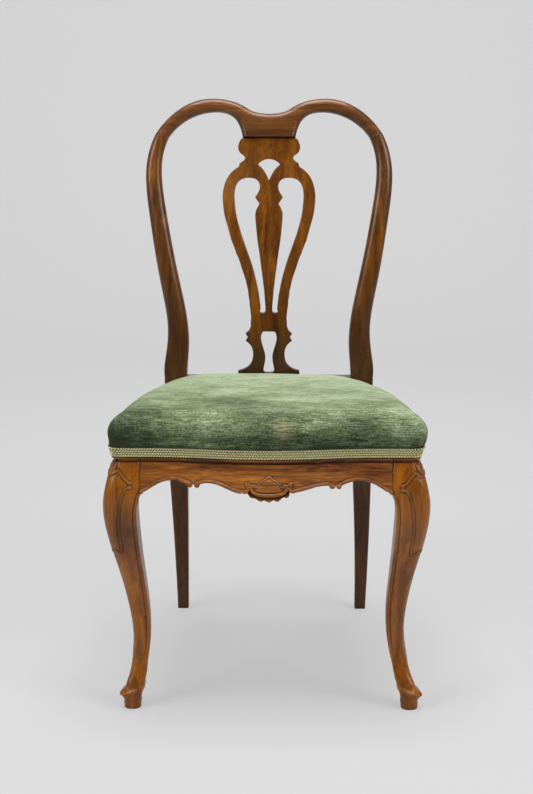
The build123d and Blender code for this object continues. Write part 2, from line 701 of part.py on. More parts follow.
def crest_rail():
    """The yoke shaped crest rail: two arches and a tablet, with its shown edges rounded."""
    board = crest_plane()
    stretch = 1 / board.y_dir.Z
    tilt = math.radians(CREST_JOINT_TILT)
    lean = math.radians(CREST_ARM_LEAN)
    half = Vector(math.cos(tilt), math.sin(tilt)) * (CREST_ARM / 2)
    reach = POST_OUT + CREST_JOINT_OUT
    middle = Vector(reach, 0)
    rise = Vector(-math.sin(lean), math.cos(lean))
    start = rise * -CREST_RUN_ON
    peak = (BACK_TOP - CREST_JOINT) * stretch
    foot = (TABLET_FOOT - CREST_JOINT) * stretch
    top = Spline(
        middle + half + start,
        middle + half,
        (reach * CREST_PEAK_OUT, peak),
        (reach * CREST_SADDLE_OUT, peak - CREST_SADDLE * stretch),
        (0, peak - CREST_DIP * stretch),
        tangents=[rise, (-1, 0)],
    )
    under = Spline(
        middle - half + start,
        middle - half,
        (reach * CREST_ARCH_OUT, peak - CREST_ARCH * stretch),
        (reach * CREST_HAUNCH_OUT, peak - CREST_HAUNCH * stretch),
        (TABLET_HALF, foot),
        (TABLET_HALF, foot - CREST_RUN_ON),
        tangents=[rise, (0, -1)],
    )
    right = [Line(under @ 0, top @ 0), top, under]
    closing = Line(under @ 1, mirrored(under) @ 1)
    face = make_face(right + [mirrored(edge) for edge in right] + [closing])
    rail = extrude(board * face, CREST_THICK / 2, both=True)
    rims = [
        edge
        for side in rail.faces().filter_by(Axis(board.origin, board.z_dir))
        for edge in side.edges()
        if edge.geom_type != GeomType.LINE
    ]
    rail = fillet(rims, CREST_ROUND)
    waste = 2 * CREST_RUN_ON
    below_joint = crest_joint_plane() * Pos(0, 0, -waste) * Box(2 * waste, 2 * waste, 2 * waste)
    below_foot = board * Pos(0, foot - waste, 0) * Box(4 * TABLET_HALF, 2 * waste, 2 * waste)
    mortise = stile_tenon(FIT, GLUE_SPACE)
    rail -= below_joint + mirrored(below_joint)
    rail -= below_foot
    rail -= mortise + mirrored(mortise)
    high = splat_tenon_top() + GLUE_SPACE
    return rail - splat_slab(SPLAT_TENON + 2 * FIT, SPLAT_TENON_TOP_HALF + FIT, SPLAT_BASE, high)


def splat_tenon_top():
    return TABLET_FOOT + SPLAT_TENON_LENGTH


def splat_slab(thick, half, low, high):
    """A slab of the splat's curve in side view, between two heights."""
    middle = (low + high) / 2

    def face_arc(offset):
        return ThreePointArc(
            (back_y(low) + offset, low), (back_y(middle) + offset, middle), (back_y(high) + offset, high)
        )

    front = face_arc(-thick / 2)
    back = face_arc(thick / 2)
    side = make_face([front, back, Line(front @ 0, back @ 0), Line(front @ 1, back @ 1)])
    return extrude(Plane.YZ * side, half, both=True)


def from_top(point):
    return (point[0], SPLAT_TOP - point[1])


def from_base(point):
    return (point[0], SPLAT_BASE + point[1])


def splat_outline():
    """Right half of the splat's outer edge, from its top to its base."""
    ear = ThreePointArc((TABLET_HALF, SPLAT_TOP), from_top(SPLAT_EAR), from_top(SPLAT_EAR_END))
    hollow = Spline(
        from_top(SPLAT_EAR_END),
        from_top(SPLAT_NOTCH),
        from_top(SPLAT_STEP),
        tangents=[(-1, -0.6), (1, -0.5)],
    )
    step = Line(from_top(SPLAT_STEP), from_top(SPLAT_SHOULDER))
    strap = Spline(
        from_top(SPLAT_SHOULDER),
        from_top(SPLAT_WIDE),
        from_top(STRAP_MIDDLE),
        from_base(SPLAT_WAIST),
        from_base(LOWER_EAR),
        tangents=[(1, -0.5), (0.9, -0.5)],
    )
    ears = Polyline(from_base(LOWER_EAR), from_base(LOWER_NOTCH), from_base(LOWER_EAR_2))
    neck = Spline(
        from_base(LOWER_EAR_2),
        from_base(SPLAT_NECK),
        from_base(SPLAT_TOE),
        tangents=[(-1, -0.6), (1, -0.2)],
    )
    toe = Line(from_base(SPLAT_TOE), (SPLAT_TOE[0], SPLAT_BASE))
    return [ear, hollow, step, strap] + ears.edges() + [neck, toe]


def splat_holes():
    """The fan, the two loops beside the baluster and the keyhole."""
    corner = from_top(FAN_CORNER)
    corner_left = (-corner[0], corner[1])
    tip = (0, SPLAT_TOP - FAN_TIP)
    fan = make_face(
        [
            ThreePointArc(corner_left, (0, SPLAT_TOP - FAN_TOP), corner),
            Spline(corner, tip, tangents=[(-0.9, -0.6), (-0.4, -1)]),
            Spline(corner_left, tip, tangents=[(0.9, -0.6), (0.4, -1)]),
        ]
    )
    wide_inside = (SPLAT_WIDE[0] - STRAP_WIDE, SPLAT_WIDE[1])
    middle_inside = (STRAP_MIDDLE[0] - STRAP_MIDDLE_WIDTH, STRAP_MIDDLE[1])
    low_inside = (SPLAT_WAIST[0] - STRAP_LOW, SPLAT_WAIST[1])
    loop = make_face(
        [
            Spline(
                from_top(LOOP_TOP),
                from_top(wide_inside),
                from_top(middle_inside),
                from_base(low_inside),
                from_base(SLOT_END),
                tangents=[(1, 0), (-1, 0)],
            ),
            Spline(
                from_base(SLOT_END),
                from_base(BALUSTER_FOOT),
                from_top(BALUSTER_MIDDLE),
                from_top(BALUSTER_WIDE),
                from_top(BALUSTER_NECK),
                tangents=[(-1, 0), (-0.6, 1)],
            ),
            Line(from_top(BALUSTER_NECK), from_top(LOOP_CUSP)),
            Spline(
                from_top(LOOP_CUSP),
                from_top(LOOP_INSIDE),
                from_top(LOOP_TOP),
                tangents=[(-0.7, 1), (1, 0)],
            ),
        ]
    )
    key_half = [
        Line((0, from_base(KEY_TOP)[1]), from_base(KEY_TOP)),
        Spline(
            from_base(KEY_TOP),
            from_base(KEY_WIDE),
            from_base(KEY_NECK),
            from_base(KEY_FOOT),
            (0, SPLAT_BASE + KEY_END),
            tangents=[(1, -1), (-1, 0)],
        ),
    ]
    key = make_face(key_half + [mirrored(edge) for edge in key_half])
    return [fan, loop, mirrored(loop), key]


def back_splat():
    """The pierced splat, sawn from a board of the back's curve, with a tenon at each end."""
    right = splat_outline()
    left = [mirrored(edge) for edge in right]
    top = Line((TABLET_HALF, SPLAT_TOP), (-TABLET_HALF, SPLAT_TOP))
    base = Line((SPLAT_TOE[0], SPLAT_BASE), (-SPLAT_TOE[0], SPLAT_BASE))
    face = make_face(right + left + [top, base])
    for hole in splat_holes():
        face -= hole
    board = splat_slab(SPLAT_THICK, SPLAT_WIDE[0] + SPLAT_THICK, SPLAT_BASE, SPLAT_TOP)
    splat = board & extrude(Plane.XZ * face, FAR, both=True)
    splat += splat_slab(SPLAT_TENON, SPLAT_TENON_TOP_HALF, SPLAT_TOP, splat_tenon_top())
    return splat + splat_foot_tenon(0, 0)


def splat_shoe():
    """The plinth on the rear rail, with a cove along its front and the splat's mortise."""
    profile = make_face(
        [
            Line((SHOE_FRONT, RAIL_TOP), (SHOE_FRONT, SHOE_TOP - SHOE_COVE)),
            RadiusArc((SHOE_FRONT, SHOE_TOP - SHOE_COVE), (SHOE_FRONT + SHOE_COVE, SHOE_TOP), SHOE_COVE),
            Line((SHOE_FRONT + SHOE_COVE, SHOE_TOP), (SHOE_BACK, SHOE_TOP)),
            Line((SHOE_BACK, SHOE_TOP), (SHOE_BACK, RAIL_TOP)),
            Line((SHOE_BACK, RAIL_TOP), (SHOE_FRONT, RAIL_TOP)),
        ]
    )
    shoe = extrude(Plane.YZ * profile, POST_INNER, both=True)
    return shoe - splat_foot_tenon(FIT, GLUE_SPACE)


def splat_foot_tenon(play, room):
    """The tenon under the splat, with play for its mortise in the shoe."""
    half = SPLAT_TENON_FOOT_HALF + play
    thick = SPLAT_TENON / 2 + play
    low = SPLAT_BASE - SPLAT_TENON_LENGTH - room
    return block(-half, half, POST_Y - thick, POST_Y + thick, low, SPLAT_BASE + room)


def side_inside(y):
    """Inner face of the right side rail at depth y."""
    return lip_x(y) - RAIL_THICK


def corner_block_front():
    """The right front corner block, notched round the leg."""
    far = LEG_BLOCK + BLOCK_LEG
    points = [
        (LEG_INNER - BLOCK_LEG, RAIL_THICK),
        (LEG_INNER, RAIL_THICK),
        (LEG_INNER, LEG_BLOCK),
        (side_inside(LEG_BLOCK), LEG_BLOCK),
        (side_inside(far), far),
    ]
    face = make_face(Polyline(*points, close=True))
    return Pos(0, 0, BLOCK_BOTTOM) * extrude(face, BLOCK_HEIGHT)


def corner_block_rear():
    """The right rear corner block, against the rear rail, the post and the side rail."""
    near = SEAT_DEPTH - BLOCK_LEG
    points = [
        (POST_INNER - BLOCK_LEG, REAR_RAIL_FRONT),
        (POST_INNER, REAR_RAIL_FRONT),
        (POST_INNER, SEAT_DEPTH),
        (side_inside(SEAT_DEPTH), SEAT_DEPTH),
        (side_inside(near), near),
    ]
    face = make_face(Polyline(*points, close=True))
    return Pos(0, 0, BLOCK_BOTTOM) * extrude(face, BLOCK_HEIGHT)


def peg(place, toward):
    """A peg driven in from a post's face."""
    dowel = Cylinder(PEG_DIAMETER / 2, PEG_LENGTH)
    return Plane(origin=place, z_dir=toward) * Pos(0, 0, PEG_LENGTH / 2) * dowel


def right_pegs():
    """Two pegs through the side rail's tenon and two through the rear rail's tenon in the right post."""
    pegs = []
    for z in (TENON_LOW + PEG_RISE, TENON_HIGH - PEG_RISE):
        pegs.append(peg((POST_OUTER, SEAT_DEPTH + PEG_SETBACK, z), (-1, 0, 0)))
        pegs.append(peg((POST_INNER + PEG_SETBACK, SEAT_DEPTH + POST_DEPTH, z), (0, -1, 0)))
    return pegs


def screw(seat, toward, play, room):
    """A screw with its head on seat, or the hole for it with play round the head and room behind it."""
    shank = Pos(0, 0, SCREW_LENGTH / 2) * Cylinder(SCREW_DIAMETER / 2, SCREW_LENGTH)
    height = SCREW_HEAD_HEIGHT + room
    head = Pos(0, 0, -height / 2) * Cylinder(SCREW_HEAD / 2 + play, height)
    return Plane(origin=seat, z_dir=toward) * (shank + head)


def right_screws(play, room):
    """The four screws on the right: two in the front corner block and two in the rear one."""
    z = BLOCK_BOTTOM + BLOCK_HEIGHT / 2
    front_y = LEG_BLOCK + BLOCK_LEG - SCREW_FROM_END
    rear_y = SEAT_DEPTH - BLOCK_LEG + SCREW_FROM_END
    front_x = LEG_INNER - BLOCK_LEG + SCREW_FROM_END
    rear_x = POST_INNER - BLOCK_LEG + SCREW_FROM_END
    return [
        screw((front_x, RAIL_THICK + SCREW_SEAT, z), (0, -1, 0), play, room),
        screw((side_inside(front_y) - SCREW_SEAT, front_y, z), (1, 0, 0), play, room),
        screw((rear_x, REAR_RAIL_FRONT - SCREW_SEAT, z), (0, 1, 0), play, room),
        screw((side_inside(rear_y) - SCREW_SEAT, rear_y, z), (1, 0, 0), play, room),
    ]


def strap_places(pitch):
    return [(k - (WEB_COUNT - 1) / 2) * pitch for k in range(WEB_COUNT)]


def lengthwise_ends(x):
    """Front and rear end of the strap at x."""
    front = WEB_INSET - bow_at(abs(x) + WEB_WIDTH / 2)
    return front, COVER_BACK - PAD_SKIN - WEB_EDGE


def crosswise_places():
    """Middle depth and half length of each cross strap."""
    middle = (RAIL_THICK + REAR_RAIL_FRONT) / 2
    side = math.hypot(1.0, SPLAY)
    places = [middle + step for step in strap_places(WEB_PITCH_CROSSWISE)]
    return [(y, lip_x(y + WEB_WIDTH / 2) - WEB_INSET * side) for y in places]


def webbing_lengthwise():
    """Straps from the front rail to the rear rail, with their ends turned over on top."""
    straps = []
    half = WEB_WIDTH / 2
    upper = RAIL_TOP + WEB_THICK
    for x in strap_places(WEB_PITCH_LENGTHWISE):
        front, rear = lengthwise_ends(x)
        strap = block(x - half, x + half, front, rear, RAIL_TOP, upper)
        strap += block(x - half, x + half, front, front + WEB_FOLD, upper, WEB_TOP)
        strap += block(x - half, x + half, rear - WEB_FOLD, rear, upper, WEB_TOP)
        straps.append(strap)
    return straps


def webbing_crosswise():
    """Straps from side rail to side rail over the others, with their ends turned under."""
    straps = []
    half = WEB_WIDTH / 2
    lower = RAIL_TOP + WEB_THICK
    for y, reach in crosswise_places():
        strap = block(-reach, reach, y - half, y + half, lower, WEB_TOP)
        fold = block(reach - WEB_FOLD, reach, y - half, y + half, RAIL_TOP, lower)
        straps.append(strap + fold + mirrored(fold))
    return straps


def tack_places():
    """Where tacks hold the straps: a row across each end."""
    across = [(k - (TACKS_PER_END - 1) / 2) * WEB_WIDTH / TACKS_PER_END for k in range(TACKS_PER_END)]
    places = []
    for x in strap_places(WEB_PITCH_LENGTHWISE):
        front, rear = lengthwise_ends(x)
        for y in (front + TACK_FROM_END, rear - TACK_FROM_END):
            places += [(x + step, y) for step in across]
    for y, reach in crosswise_places():
        for x in (TACK_FROM_END - reach, reach - TACK_FROM_END):
            places += [(x, y + step) for step in across]
    return places


def tack_shank(place):
    half = TACK_SHANK / 2
    x, y = place
    return block(x - half, x + half, y - half, y + half, WEB_TOP - TACK_LENGTH, WEB_TOP)


def tack(place):
    """A cut tack: a square shank under a forged head."""
    head = extrude(RegularPolygon(TACK_HEAD / 2, TACK_HEAD_SIDES), TACK_HEAD_HEIGHT)
    return tack_shank(place) + Pos(*place, WEB_TOP) * head


def post_notches(skin):
    """The cover is cut round the rear posts."""
    clear = SEAT_REAR_CLEAR + skin
    notch = block(POST_INNER - clear, FAR, SEAT_DEPTH - clear, FAR, 0, FAR)
    return notch + mirrored(notch)


def cushion(skin):
    """The padded seat, this far under the cover's face: straight edge, bulge, rolled shoulder and crown."""
    edge = [(0.0, COVER_INSET, 0.0, 0.0), (BRAID_HEIGHT, COVER_INSET - BRAID_LEAN, 0.0, 0.0)]
    profile = edge + SEAT_PROFILE + [SEAT_CROWN]
    levels = []
    for k, (rise, inset, drop, roll) in enumerate(profile):
        before = profile[max(k - 1, 0)]
        after = profile[min(k + 1, len(profile) - 1)]
        run = math.hypot(after[0] - before[0], after[1] - before[1])
        inward = skin * (after[0] - before[0]) / run
        downward = skin * (after[1] - before[1]) / run
        share = inset / SEAT_CROWN[1] if k >= len(edge) else 0.0
        bow = 1.0 - (1.0 - SEAT_CROWN_BOW) * max(share, 0.0)
        corner = SEAT_CORNER if k >= len(edge) else lip_corner(inset + inward)
        angle = math.atan2(drop, SEAT_DEPTH)
        plane = Plane(
            origin=(0, 0, LIP_TOP + rise - downward),
            x_dir=(1, 0, 0),
            z_dir=(0, math.sin(angle), math.cos(angle)),
        )
        levels.append(plane * seat_outline(inset + inward, corner, COVER_BACK - skin - roll, bow))
    return loft(levels, ruled=True) - post_notches(skin)


def under_cover(low, high):
    """The room of the frame under the cover, between two heights."""
    inset = COVER_INSET + VELVET_THICK
    face = seat_outline(inset, lip_corner(inset), COVER_BACK)
    return Pos(0, 0, low) * extrude(face, high - low)


def velvet_cover():
    """The show cover: a skin over the padding that hangs down to the lip outside the tacked wood."""
    return cushion(0) - cushion(VELVET_THICK) - under_cover(LIP_TOP, RAIL_TOP)


def linen_undercover():
    """The lining over the pad, tacked down on top of the rails."""
    cut = block(-FAR, FAR, -FAR, FAR, 0, RAIL_TOP)
    return cushion(LINEN_SKIN) - cushion(LINEN_SKIN + LINEN_THICK) - cut


def stuffing_pad():
    """The hair pad on the hessian."""
    return cushion(PAD_SKIN) - block(-FAR, FAR, -FAR, FAR, 0, HESSIAN_LOW + HESSIAN_THICK)


def hessian_base():
    """The sacking over the straps."""
    inset = COVER_INSET + PAD_SKIN
    face = seat_outline(inset, lip_corner(inset), COVER_BACK - PAD_SKIN)
    return Pos(0, 0, HESSIAN_LOW) * extrude(face, HESSIAN_THICK) - post_notches(PAD_SKIN)


def braid_trim():
    """The gimp braid round the foot of the cover, from post to post, leaning out with the padding."""
    rear = SEAT_DEPTH - SEAT_REAR_CLEAR

    def band(inset):
        low = seat_outline(inset, lip_corner(inset), rear)
        high = seat_outline(inset - BRAID_LEAN, lip_corner(inset - BRAID_LEAN), rear)
        return loft([Pos(0, 0, LIP_TOP) * low, Pos(0, 0, LIP_TOP + BRAID_HEIGHT) * high], ruled=True)

    return band(BRAID_INSET) - band(COVER_INSET)


def main():
    os.makedirs("parts", exist_ok=True)
    pegs = right_pegs()
    screws = right_screws(0, 0)
    holes = pegs + right_screws(SCREW_HEAD_PLAY, BLOCK_LEG)
    both_holes = holes + [mirrored(hole) for hole in holes]
    shanks = [tack_shank(place) for place in tack_places()]
    side = side_seat_rail() - holes
    block_front = corner_block_front() - holes
    block_rear = corner_block_rear() - holes
    pieces = {
        "front_leg_right": front_leg(FOOT_KICK_RIGHT, FOOT_KICK_RIGHT_FROM),
        "front_leg_left": mirrored(front_leg(FOOT_KICK_LEFT, FOOT_KICK_LEFT_FROM)),
        "rear_post_right": rear_post(REAR_KICK_RIGHT) - pegs,
        "rear_post_left": mirrored(rear_post(REAR_KICK_LEFT) - pegs),
        "front_seat_rail": front_seat_rail() - both_holes - shanks,
        "side_seat_rail_right": side - shanks,
        "side_seat_rail_left": mirrored(side) - shanks,
        "rear_seat_rail": rear_seat_rail() - both_holes - shanks,
        "splat_shoe": splat_shoe(),
        "back_splat": back_splat(),
        "crest_rail": crest_rail(),
        "corner_block_front_right": block_front,
        "corner_block_front_left": mirrored(block_front),
        "corner_block_rear_right": block_rear,
        "corner_block_rear_left": mirrored(block_rear),
        "tenon_pegs": Compound(pegs + [mirrored(piece) for piece in pegs]),
        "corner_block_screws": Compound(screws + [mirrored(piece) for piece in screws]),
        "webbing_lengthwise": Compound([strap - shanks for strap in webbing_lengthwise()]),
        "webbing_crosswise": Compound([strap - shanks for strap in webbing_crosswise()]),
        "webbing_tacks": Compound([tack(place) for place in tack_places()]),
        "hessian_base": hessian_base(),
        "stuffing_pad": stuffing_pad(),
        "linen_undercover": linen_undercover(),
        "velvet_cover": velvet_cover(),
        "braid_trim": braid_trim(),
    }
    whole = Compound([solid for piece in pieces.values() for solid in piece.solids()]).bounding_box()
    shift = -(whole.min.Y + whole.max.Y) / 2
    for name, piece in pieces.items():
        solids = [Pos(0, shift, 0) * solid for solid in piece.solids()]
        export_step(solids[0] if len(solids) == 1 else Compound(solids), f"parts/{name}.step")
    print(f"box {whole.size.X:.1f} x {whole.size.Y:.1f} x {whole.size.Z:.1f}, moved by {shift:.2f} in Y")


main()
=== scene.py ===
# %% [markdown]
# # A carved walnut side chair with a velvet seat
# The chair's frame comes from the CAD model: legs, posts, rails, splat and crest rail sit exactly where the
# joiner put them. This lesson dresses that frame. It carves the knees, the front rail and the feet, rounds
# the back, stuffs and covers the seat, weaves the braid round it, and gives each piece its wood or cloth.

# %% Load the frame
import math

import bmesh
import bpy
import numpy as np
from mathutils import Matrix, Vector, noise


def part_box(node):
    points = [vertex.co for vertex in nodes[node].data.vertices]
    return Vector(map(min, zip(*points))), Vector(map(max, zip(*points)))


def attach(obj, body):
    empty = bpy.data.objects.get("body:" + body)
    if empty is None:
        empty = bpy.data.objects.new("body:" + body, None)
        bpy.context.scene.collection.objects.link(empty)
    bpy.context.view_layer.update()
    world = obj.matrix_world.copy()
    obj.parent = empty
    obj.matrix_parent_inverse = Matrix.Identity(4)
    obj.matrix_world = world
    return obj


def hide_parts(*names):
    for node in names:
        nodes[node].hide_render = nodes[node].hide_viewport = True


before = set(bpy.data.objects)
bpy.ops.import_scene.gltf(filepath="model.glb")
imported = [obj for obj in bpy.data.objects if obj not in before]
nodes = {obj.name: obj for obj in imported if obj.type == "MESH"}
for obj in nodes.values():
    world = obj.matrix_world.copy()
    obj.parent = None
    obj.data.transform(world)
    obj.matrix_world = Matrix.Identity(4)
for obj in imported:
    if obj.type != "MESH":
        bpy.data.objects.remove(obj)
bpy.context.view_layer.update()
MM = 0.001

# %% [markdown]
# ## The seat's plan
# The upholstery and the carving follow the seat's outline: a wide front with a gentle serpentine bow, and
# sides that narrow to the back. The same few numbers as in the joiner's plan give that line here. All plan
# sizes are in millimetres, with Y counted back from the front of the moulded lip at the corners.

# %% The seat's plan in numbers
HALF_FRONT = 250.0
HALF_REAR = 195.0
SEAT_DEPTH = 416.0
BOW = 15.0
BOW_HALF = HALF_FRONT - 60.0
LIP_TOP = 440.5
RAIL_TOP = 455.0
BRAID_INSET = 0.6
BRAID_HEIGHT = 17.0
BRAID_LEAN = 4.0
LEG_INNER = 202.0
SPRING = 386.0  # above this height the rail meets the leg
POST_INNER = 152.0
COVER_BACK = 426.0
CORNER_STEPS = 8
FRONT_STEPS = 40
SPLAY = (HALF_FRONT - HALF_REAR) / SEAT_DEPTH
lip_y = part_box("braid_trim")[0].y + (BOW - BRAID_INSET + BRAID_LEAN) * MM


def bow_at(x):
    """How far the front stands forward at x."""
    radius = (BOW_HALF**2 + BOW**2) / (4 * BOW)
    out = min(abs(x), BOW_HALF)
    if out < BOW_HALF / 2:
        return BOW - radius + math.sqrt(radius**2 - out**2)
    return radius - math.sqrt(radius**2 - (BOW_HALF - out) ** 2)


def place(x, y, z):
    """A point of the plan in the row frame, in metres."""
    return Vector((x * MM, y * MM + lip_y, z * MM))


def seat_line(inset, corner, rear, spacing):
    """Points from the right rear round the front to the left rear, this far inside the lip."""
    side = math.hypot(1.0, SPLAY)
    front_x = HALF_FRONT - SPLAY * inset - inset * side
    rear_x = HALF_FRONT - SPLAY * rear - inset * side
    lean = math.atan(SPLAY)
    half = [(rear_x, rear)]
    # the rounded corner turns from the splayed side to the front
    turn = math.pi / 2 + lean
    cut = corner * math.tan(turn / 2)
    centre = (front_x - cut, inset + corner)
    for k in range(CORNER_STEPS + 1):
        angle = lean - turn * k / CORNER_STEPS
        half.append((centre[0] + corner * math.cos(angle), centre[1] + corner * math.sin(angle)))
    reach = half[-1][0]
    front = [reach * (1 - 2 * k / FRONT_STEPS) for k in range(1, FRONT_STEPS)]
    line = np.array(half + [(x, inset - bow_at(x)) for x in front] + [(-x, y) for x, y in reversed(half)])
    run = np.concatenate([[0], np.cumsum(np.hypot(*np.diff(line, axis=0).T))])
    count = max(int(run[-1] / spacing), 8)
    at = np.linspace(0, run[-1], count + 1)
    return np.column_stack([np.interp(at, run, line[:, 0]), np.interp(at, run, line[:, 1])])


print("seat line:", len(seat_line(0, 14, SEAT_DEPTH, 5)), "points, lip at", round(lip_y, 4))

# %% [markdown]
# ## Camera
# The photographer stood in front of the chair, a little over a metre up and two and a half metres away, and
# looked down on it by about fourteen degrees. A long lens keeps the legs nearly parallel. The camera could
# be placed by eye, but the feet, the seat and the crest give its place and its lens by perspective.

# %% Camera
IMAGE_HEIGHT = 794
FOCAL_PIXELS = 1657.85
SENSOR = 36.0
CAMERA_SIDE = 0.0275  # metres right of the middle
CAMERA_AWAY = 2.5758  # metres before the lip
CAMERA_HIGH = 1.1648
CAMERA_DOWN = 13.615  # degrees
CAMERA_TURN = 0.605
camera_data = bpy.data.cameras.new("camera")
camera_data.sensor_width = SENSOR
camera_data.lens = FOCAL_PIXELS / IMAGE_HEIGHT * SENSOR
camera = bpy.data.objects.new("camera", camera_data)
camera.location = (CAMERA_SIDE, lip_y - CAMERA_AWAY, CAMERA_HIGH)
camera.rotation_euler = (math.radians(90 - CAMERA_DOWN), 0, math.radians(CAMERA_TURN))
bpy.context.scene.collection.objects.link(camera)
bpy.context.scene.camera = camera
print("camera: lens", round(camera_data.lens, 2), "mm at", [round(v, 3) for v in camera.location])

# %% [markdown]
# ## A small kit for materials
# One function turns a hex colour, as a paint chart gives it, into the linear values that a renderer adds up.
# One function adds a node, and one fills its sockets: plain values are set, and sockets given as values are
# linked. Five short functions use them for what every material here needs: noise, a new range, a sum, a mix
# and fine bumps. A last one puts a mesh into the scene.


# %% Material kit
def linear(code):
    """An sRGB hex colour as linear red, green, blue and alpha."""
    parts = [int(code[k : k + 2], 16) / 255 for k in (1, 3, 5)]
    return [c / 12.92 if c <= 0.04045 else ((c + 0.055) / 1.055) ** 2.4 for c in parts] + [1.0]


def plug(tree, node, sockets):
    """Fills a node's sockets by name or number."""
    for key, value in sockets.items():
        if isinstance(value, bpy.types.NodeSocket):
            tree.links.new(value, node.inputs[key])
        else:
            node.inputs[key].default_value = value


def add(tree, kind, sockets=None, **settings):
    """Adds a node to a tree, with settings by name."""
    node = tree.nodes.new("ShaderNode" + kind)
    for key, value in settings.items():
        setattr(node, key, value)
    plug(tree, node, sockets or {})
    return node


def new_material(name):
    """An empty material: returns it, its tree, its shader and the object coordinates in metres."""
    material = bpy.data.materials.new(name)
    material.use_nodes = True
    tree = material.node_tree
    tree.nodes.clear()
    shader = add(tree, "BsdfPrincipled")
    add(tree, "OutputMaterial", {"Surface": shader.outputs["BSDF"]})
    return material, tree, shader, add(tree, "TexCoord").outputs["Object"]


def ramp(tree, factor, stops):
    """A colour ramp with (place, hex colour) stops."""
    node = add(tree, "ValToRGB", {"Fac": factor})
    elements = node.color_ramp.elements
    while len(elements) < len(stops):
        elements.new(0.5)
    for element, (at, code) in zip(elements, stops):
        element.position = at
        element.color = linear(code)
    return node.outputs["Color"]


def cloud(tree, spot, size, **sockets):
    """Noise with lumps of a size in millimetres."""
    return add(tree, "TexNoise", {"Vector": spot, "Scale": 1000 / size, **sockets}).outputs["Fac"]


def remap(tree, value, before, after=(0.0, 1.0)):
    """Brings a value from one range to another and holds it inside."""
    ends = dict(zip(("From Min", "From Max", "To Min", "To Max"), (*before, *after)))
    return add(tree, "MapRange", {"Value": value, **ends}).outputs["Result"]


def combine(tree, operation, first, second, **settings):
    """One step of arithmetic with two values."""
    return add(tree, "Math", {0: first, 1: second}, operation=operation, **settings).outputs[0]


def blend(tree, share, first, second, **settings):
    """Lays a share of the second colour over the first."""
    return add(tree, "Mix", {0: share, 6: first, 7: second}, data_type="RGBA", **settings).outputs[2]


def bumps(tree, height, strength, depth):
    """Fine relief for a shader's normal, with its depth in metres."""
    return add(tree, "Bump", {"Strength": strength, "Distance": depth, "Height": height}).outputs["Normal"]


def add_piece(name, mesh):
    """Puts a mesh into the scene."""
    piece = bpy.data.objects.new(name, mesh)
    bpy.context.scene.collection.objects.link(piece)
    return piece


print("material kit ready")

# %% [markdown]
# ## Floor, backdrop and light
# The chair stands on a seamless pale grey studio paper. A floor that curves up into the backdrop has no
# corner, so one bent sheet does both. Large soft lamps stand on both sides and above, as the pale lines
# along both edges of the posts show, and a weak white world fills the shadows. In reflections that world is
# nearly dark, like the room behind the photographer, so the wood keeps its colour.

# %% Floor, backdrop and light
PAPER_HALF = 6.0
PAPER_FRONT = -4.0
PAPER_BACK = 2.6
PAPER_BEND = 1.4
PAPER_HIGH = 5.0
PAPER_STEPS = 24
PAPER_NEAR = 0.6  # from here on the paper grows paler to the back
PAPER_GLOW = 0.62  # the camera sees the paper this much more evenly than it is lit
FILL_LIGHT = 0.24
FILL_MIRRORED = 0.05
profile = [(PAPER_FRONT, 0.0), (PAPER_BACK, 0.0)]
for k in range(1, PAPER_STEPS + 1):
    angle = math.pi / 2 * k / PAPER_STEPS
    profile.append((PAPER_BACK + PAPER_BEND * math.sin(angle), PAPER_BEND * (1 - math.cos(angle))))
profile.append((PAPER_BACK + PAPER_BEND, PAPER_HIGH))
paper_mesh = bpy.data.meshes.new("studio_paper")
paper_points = [(side * PAPER_HALF, y, z) for y, z in profile for side in (-1, 1)]
paper_faces = [(2 * k, 2 * k + 1, 2 * k + 3, 2 * k + 2) for k in range(len(profile) - 1)]
paper_mesh.from_pydata(paper_points, [], paper_faces)
paper_mesh.polygons.foreach_set("use_smooth", [True] * len(paper_faces))
paper = add_piece("studio_paper", paper_mesh)
paper_material, tree, shader, paper_spot = new_material("matt_grey_paper")
far = add(tree, "SeparateXYZ", {"Vector": paper_spot}).outputs["Y"]
far = remap(tree, far, (PAPER_NEAR, PAPER_BACK + PAPER_BEND))
grey = ramp(tree, far, [(0.0, "#bfbfc0"), (1.0, "#eeeeef")])
plug(tree, shader, {"Base Color": grey, "Roughness": 0.9, "Specular IOR Level": 0.1})
seen = add(tree, "LightPath").outputs["Is Camera Ray"]
even = combine(tree, "MULTIPLY", seen, PAPER_GLOW)
glow = add(tree, "Emission", {"Color": linear("#d7d7d8"), "Strength": 1.0}).outputs[0]
lit = add(tree, "MixShader", {0: even, 1: shader.outputs[0], 2: glow}).outputs[0]
tree.links.new(lit, tree.nodes["Material Output"].inputs["Surface"])
paper_mesh.materials.append(paper_material)

world = bpy.data.worlds.new("studio_fill")
world.use_nodes = True
world.node_tree.nodes["Background"].inputs["Color"].default_value = (1.0, 1.0, 1.0, 1.0)
mirrored = add(world.node_tree, "LightPath").outputs["Is Glossy Ray"]
fill = remap(world.node_tree, mirrored, (0.0, 1.0), (FILL_LIGHT, FILL_MIRRORED))
world.node_tree.links.new(fill, world.node_tree.nodes["Background"].inputs["Strength"])
bpy.context.scene.world = world


def softbox(name, spot, aim, size, power):
    """A square area lamp that looks at a point."""
    lamp = bpy.data.lights.new(name, "AREA")
    lamp.size = size
    lamp.energy = power
    holder = bpy.data.objects.new(name, lamp)
    holder.location = spot
    holder.rotation_euler = (Vector(aim) - Vector(spot)).to_track_quat("-Z", "Y").to_euler()
    bpy.context.scene.collection.objects.link(holder)


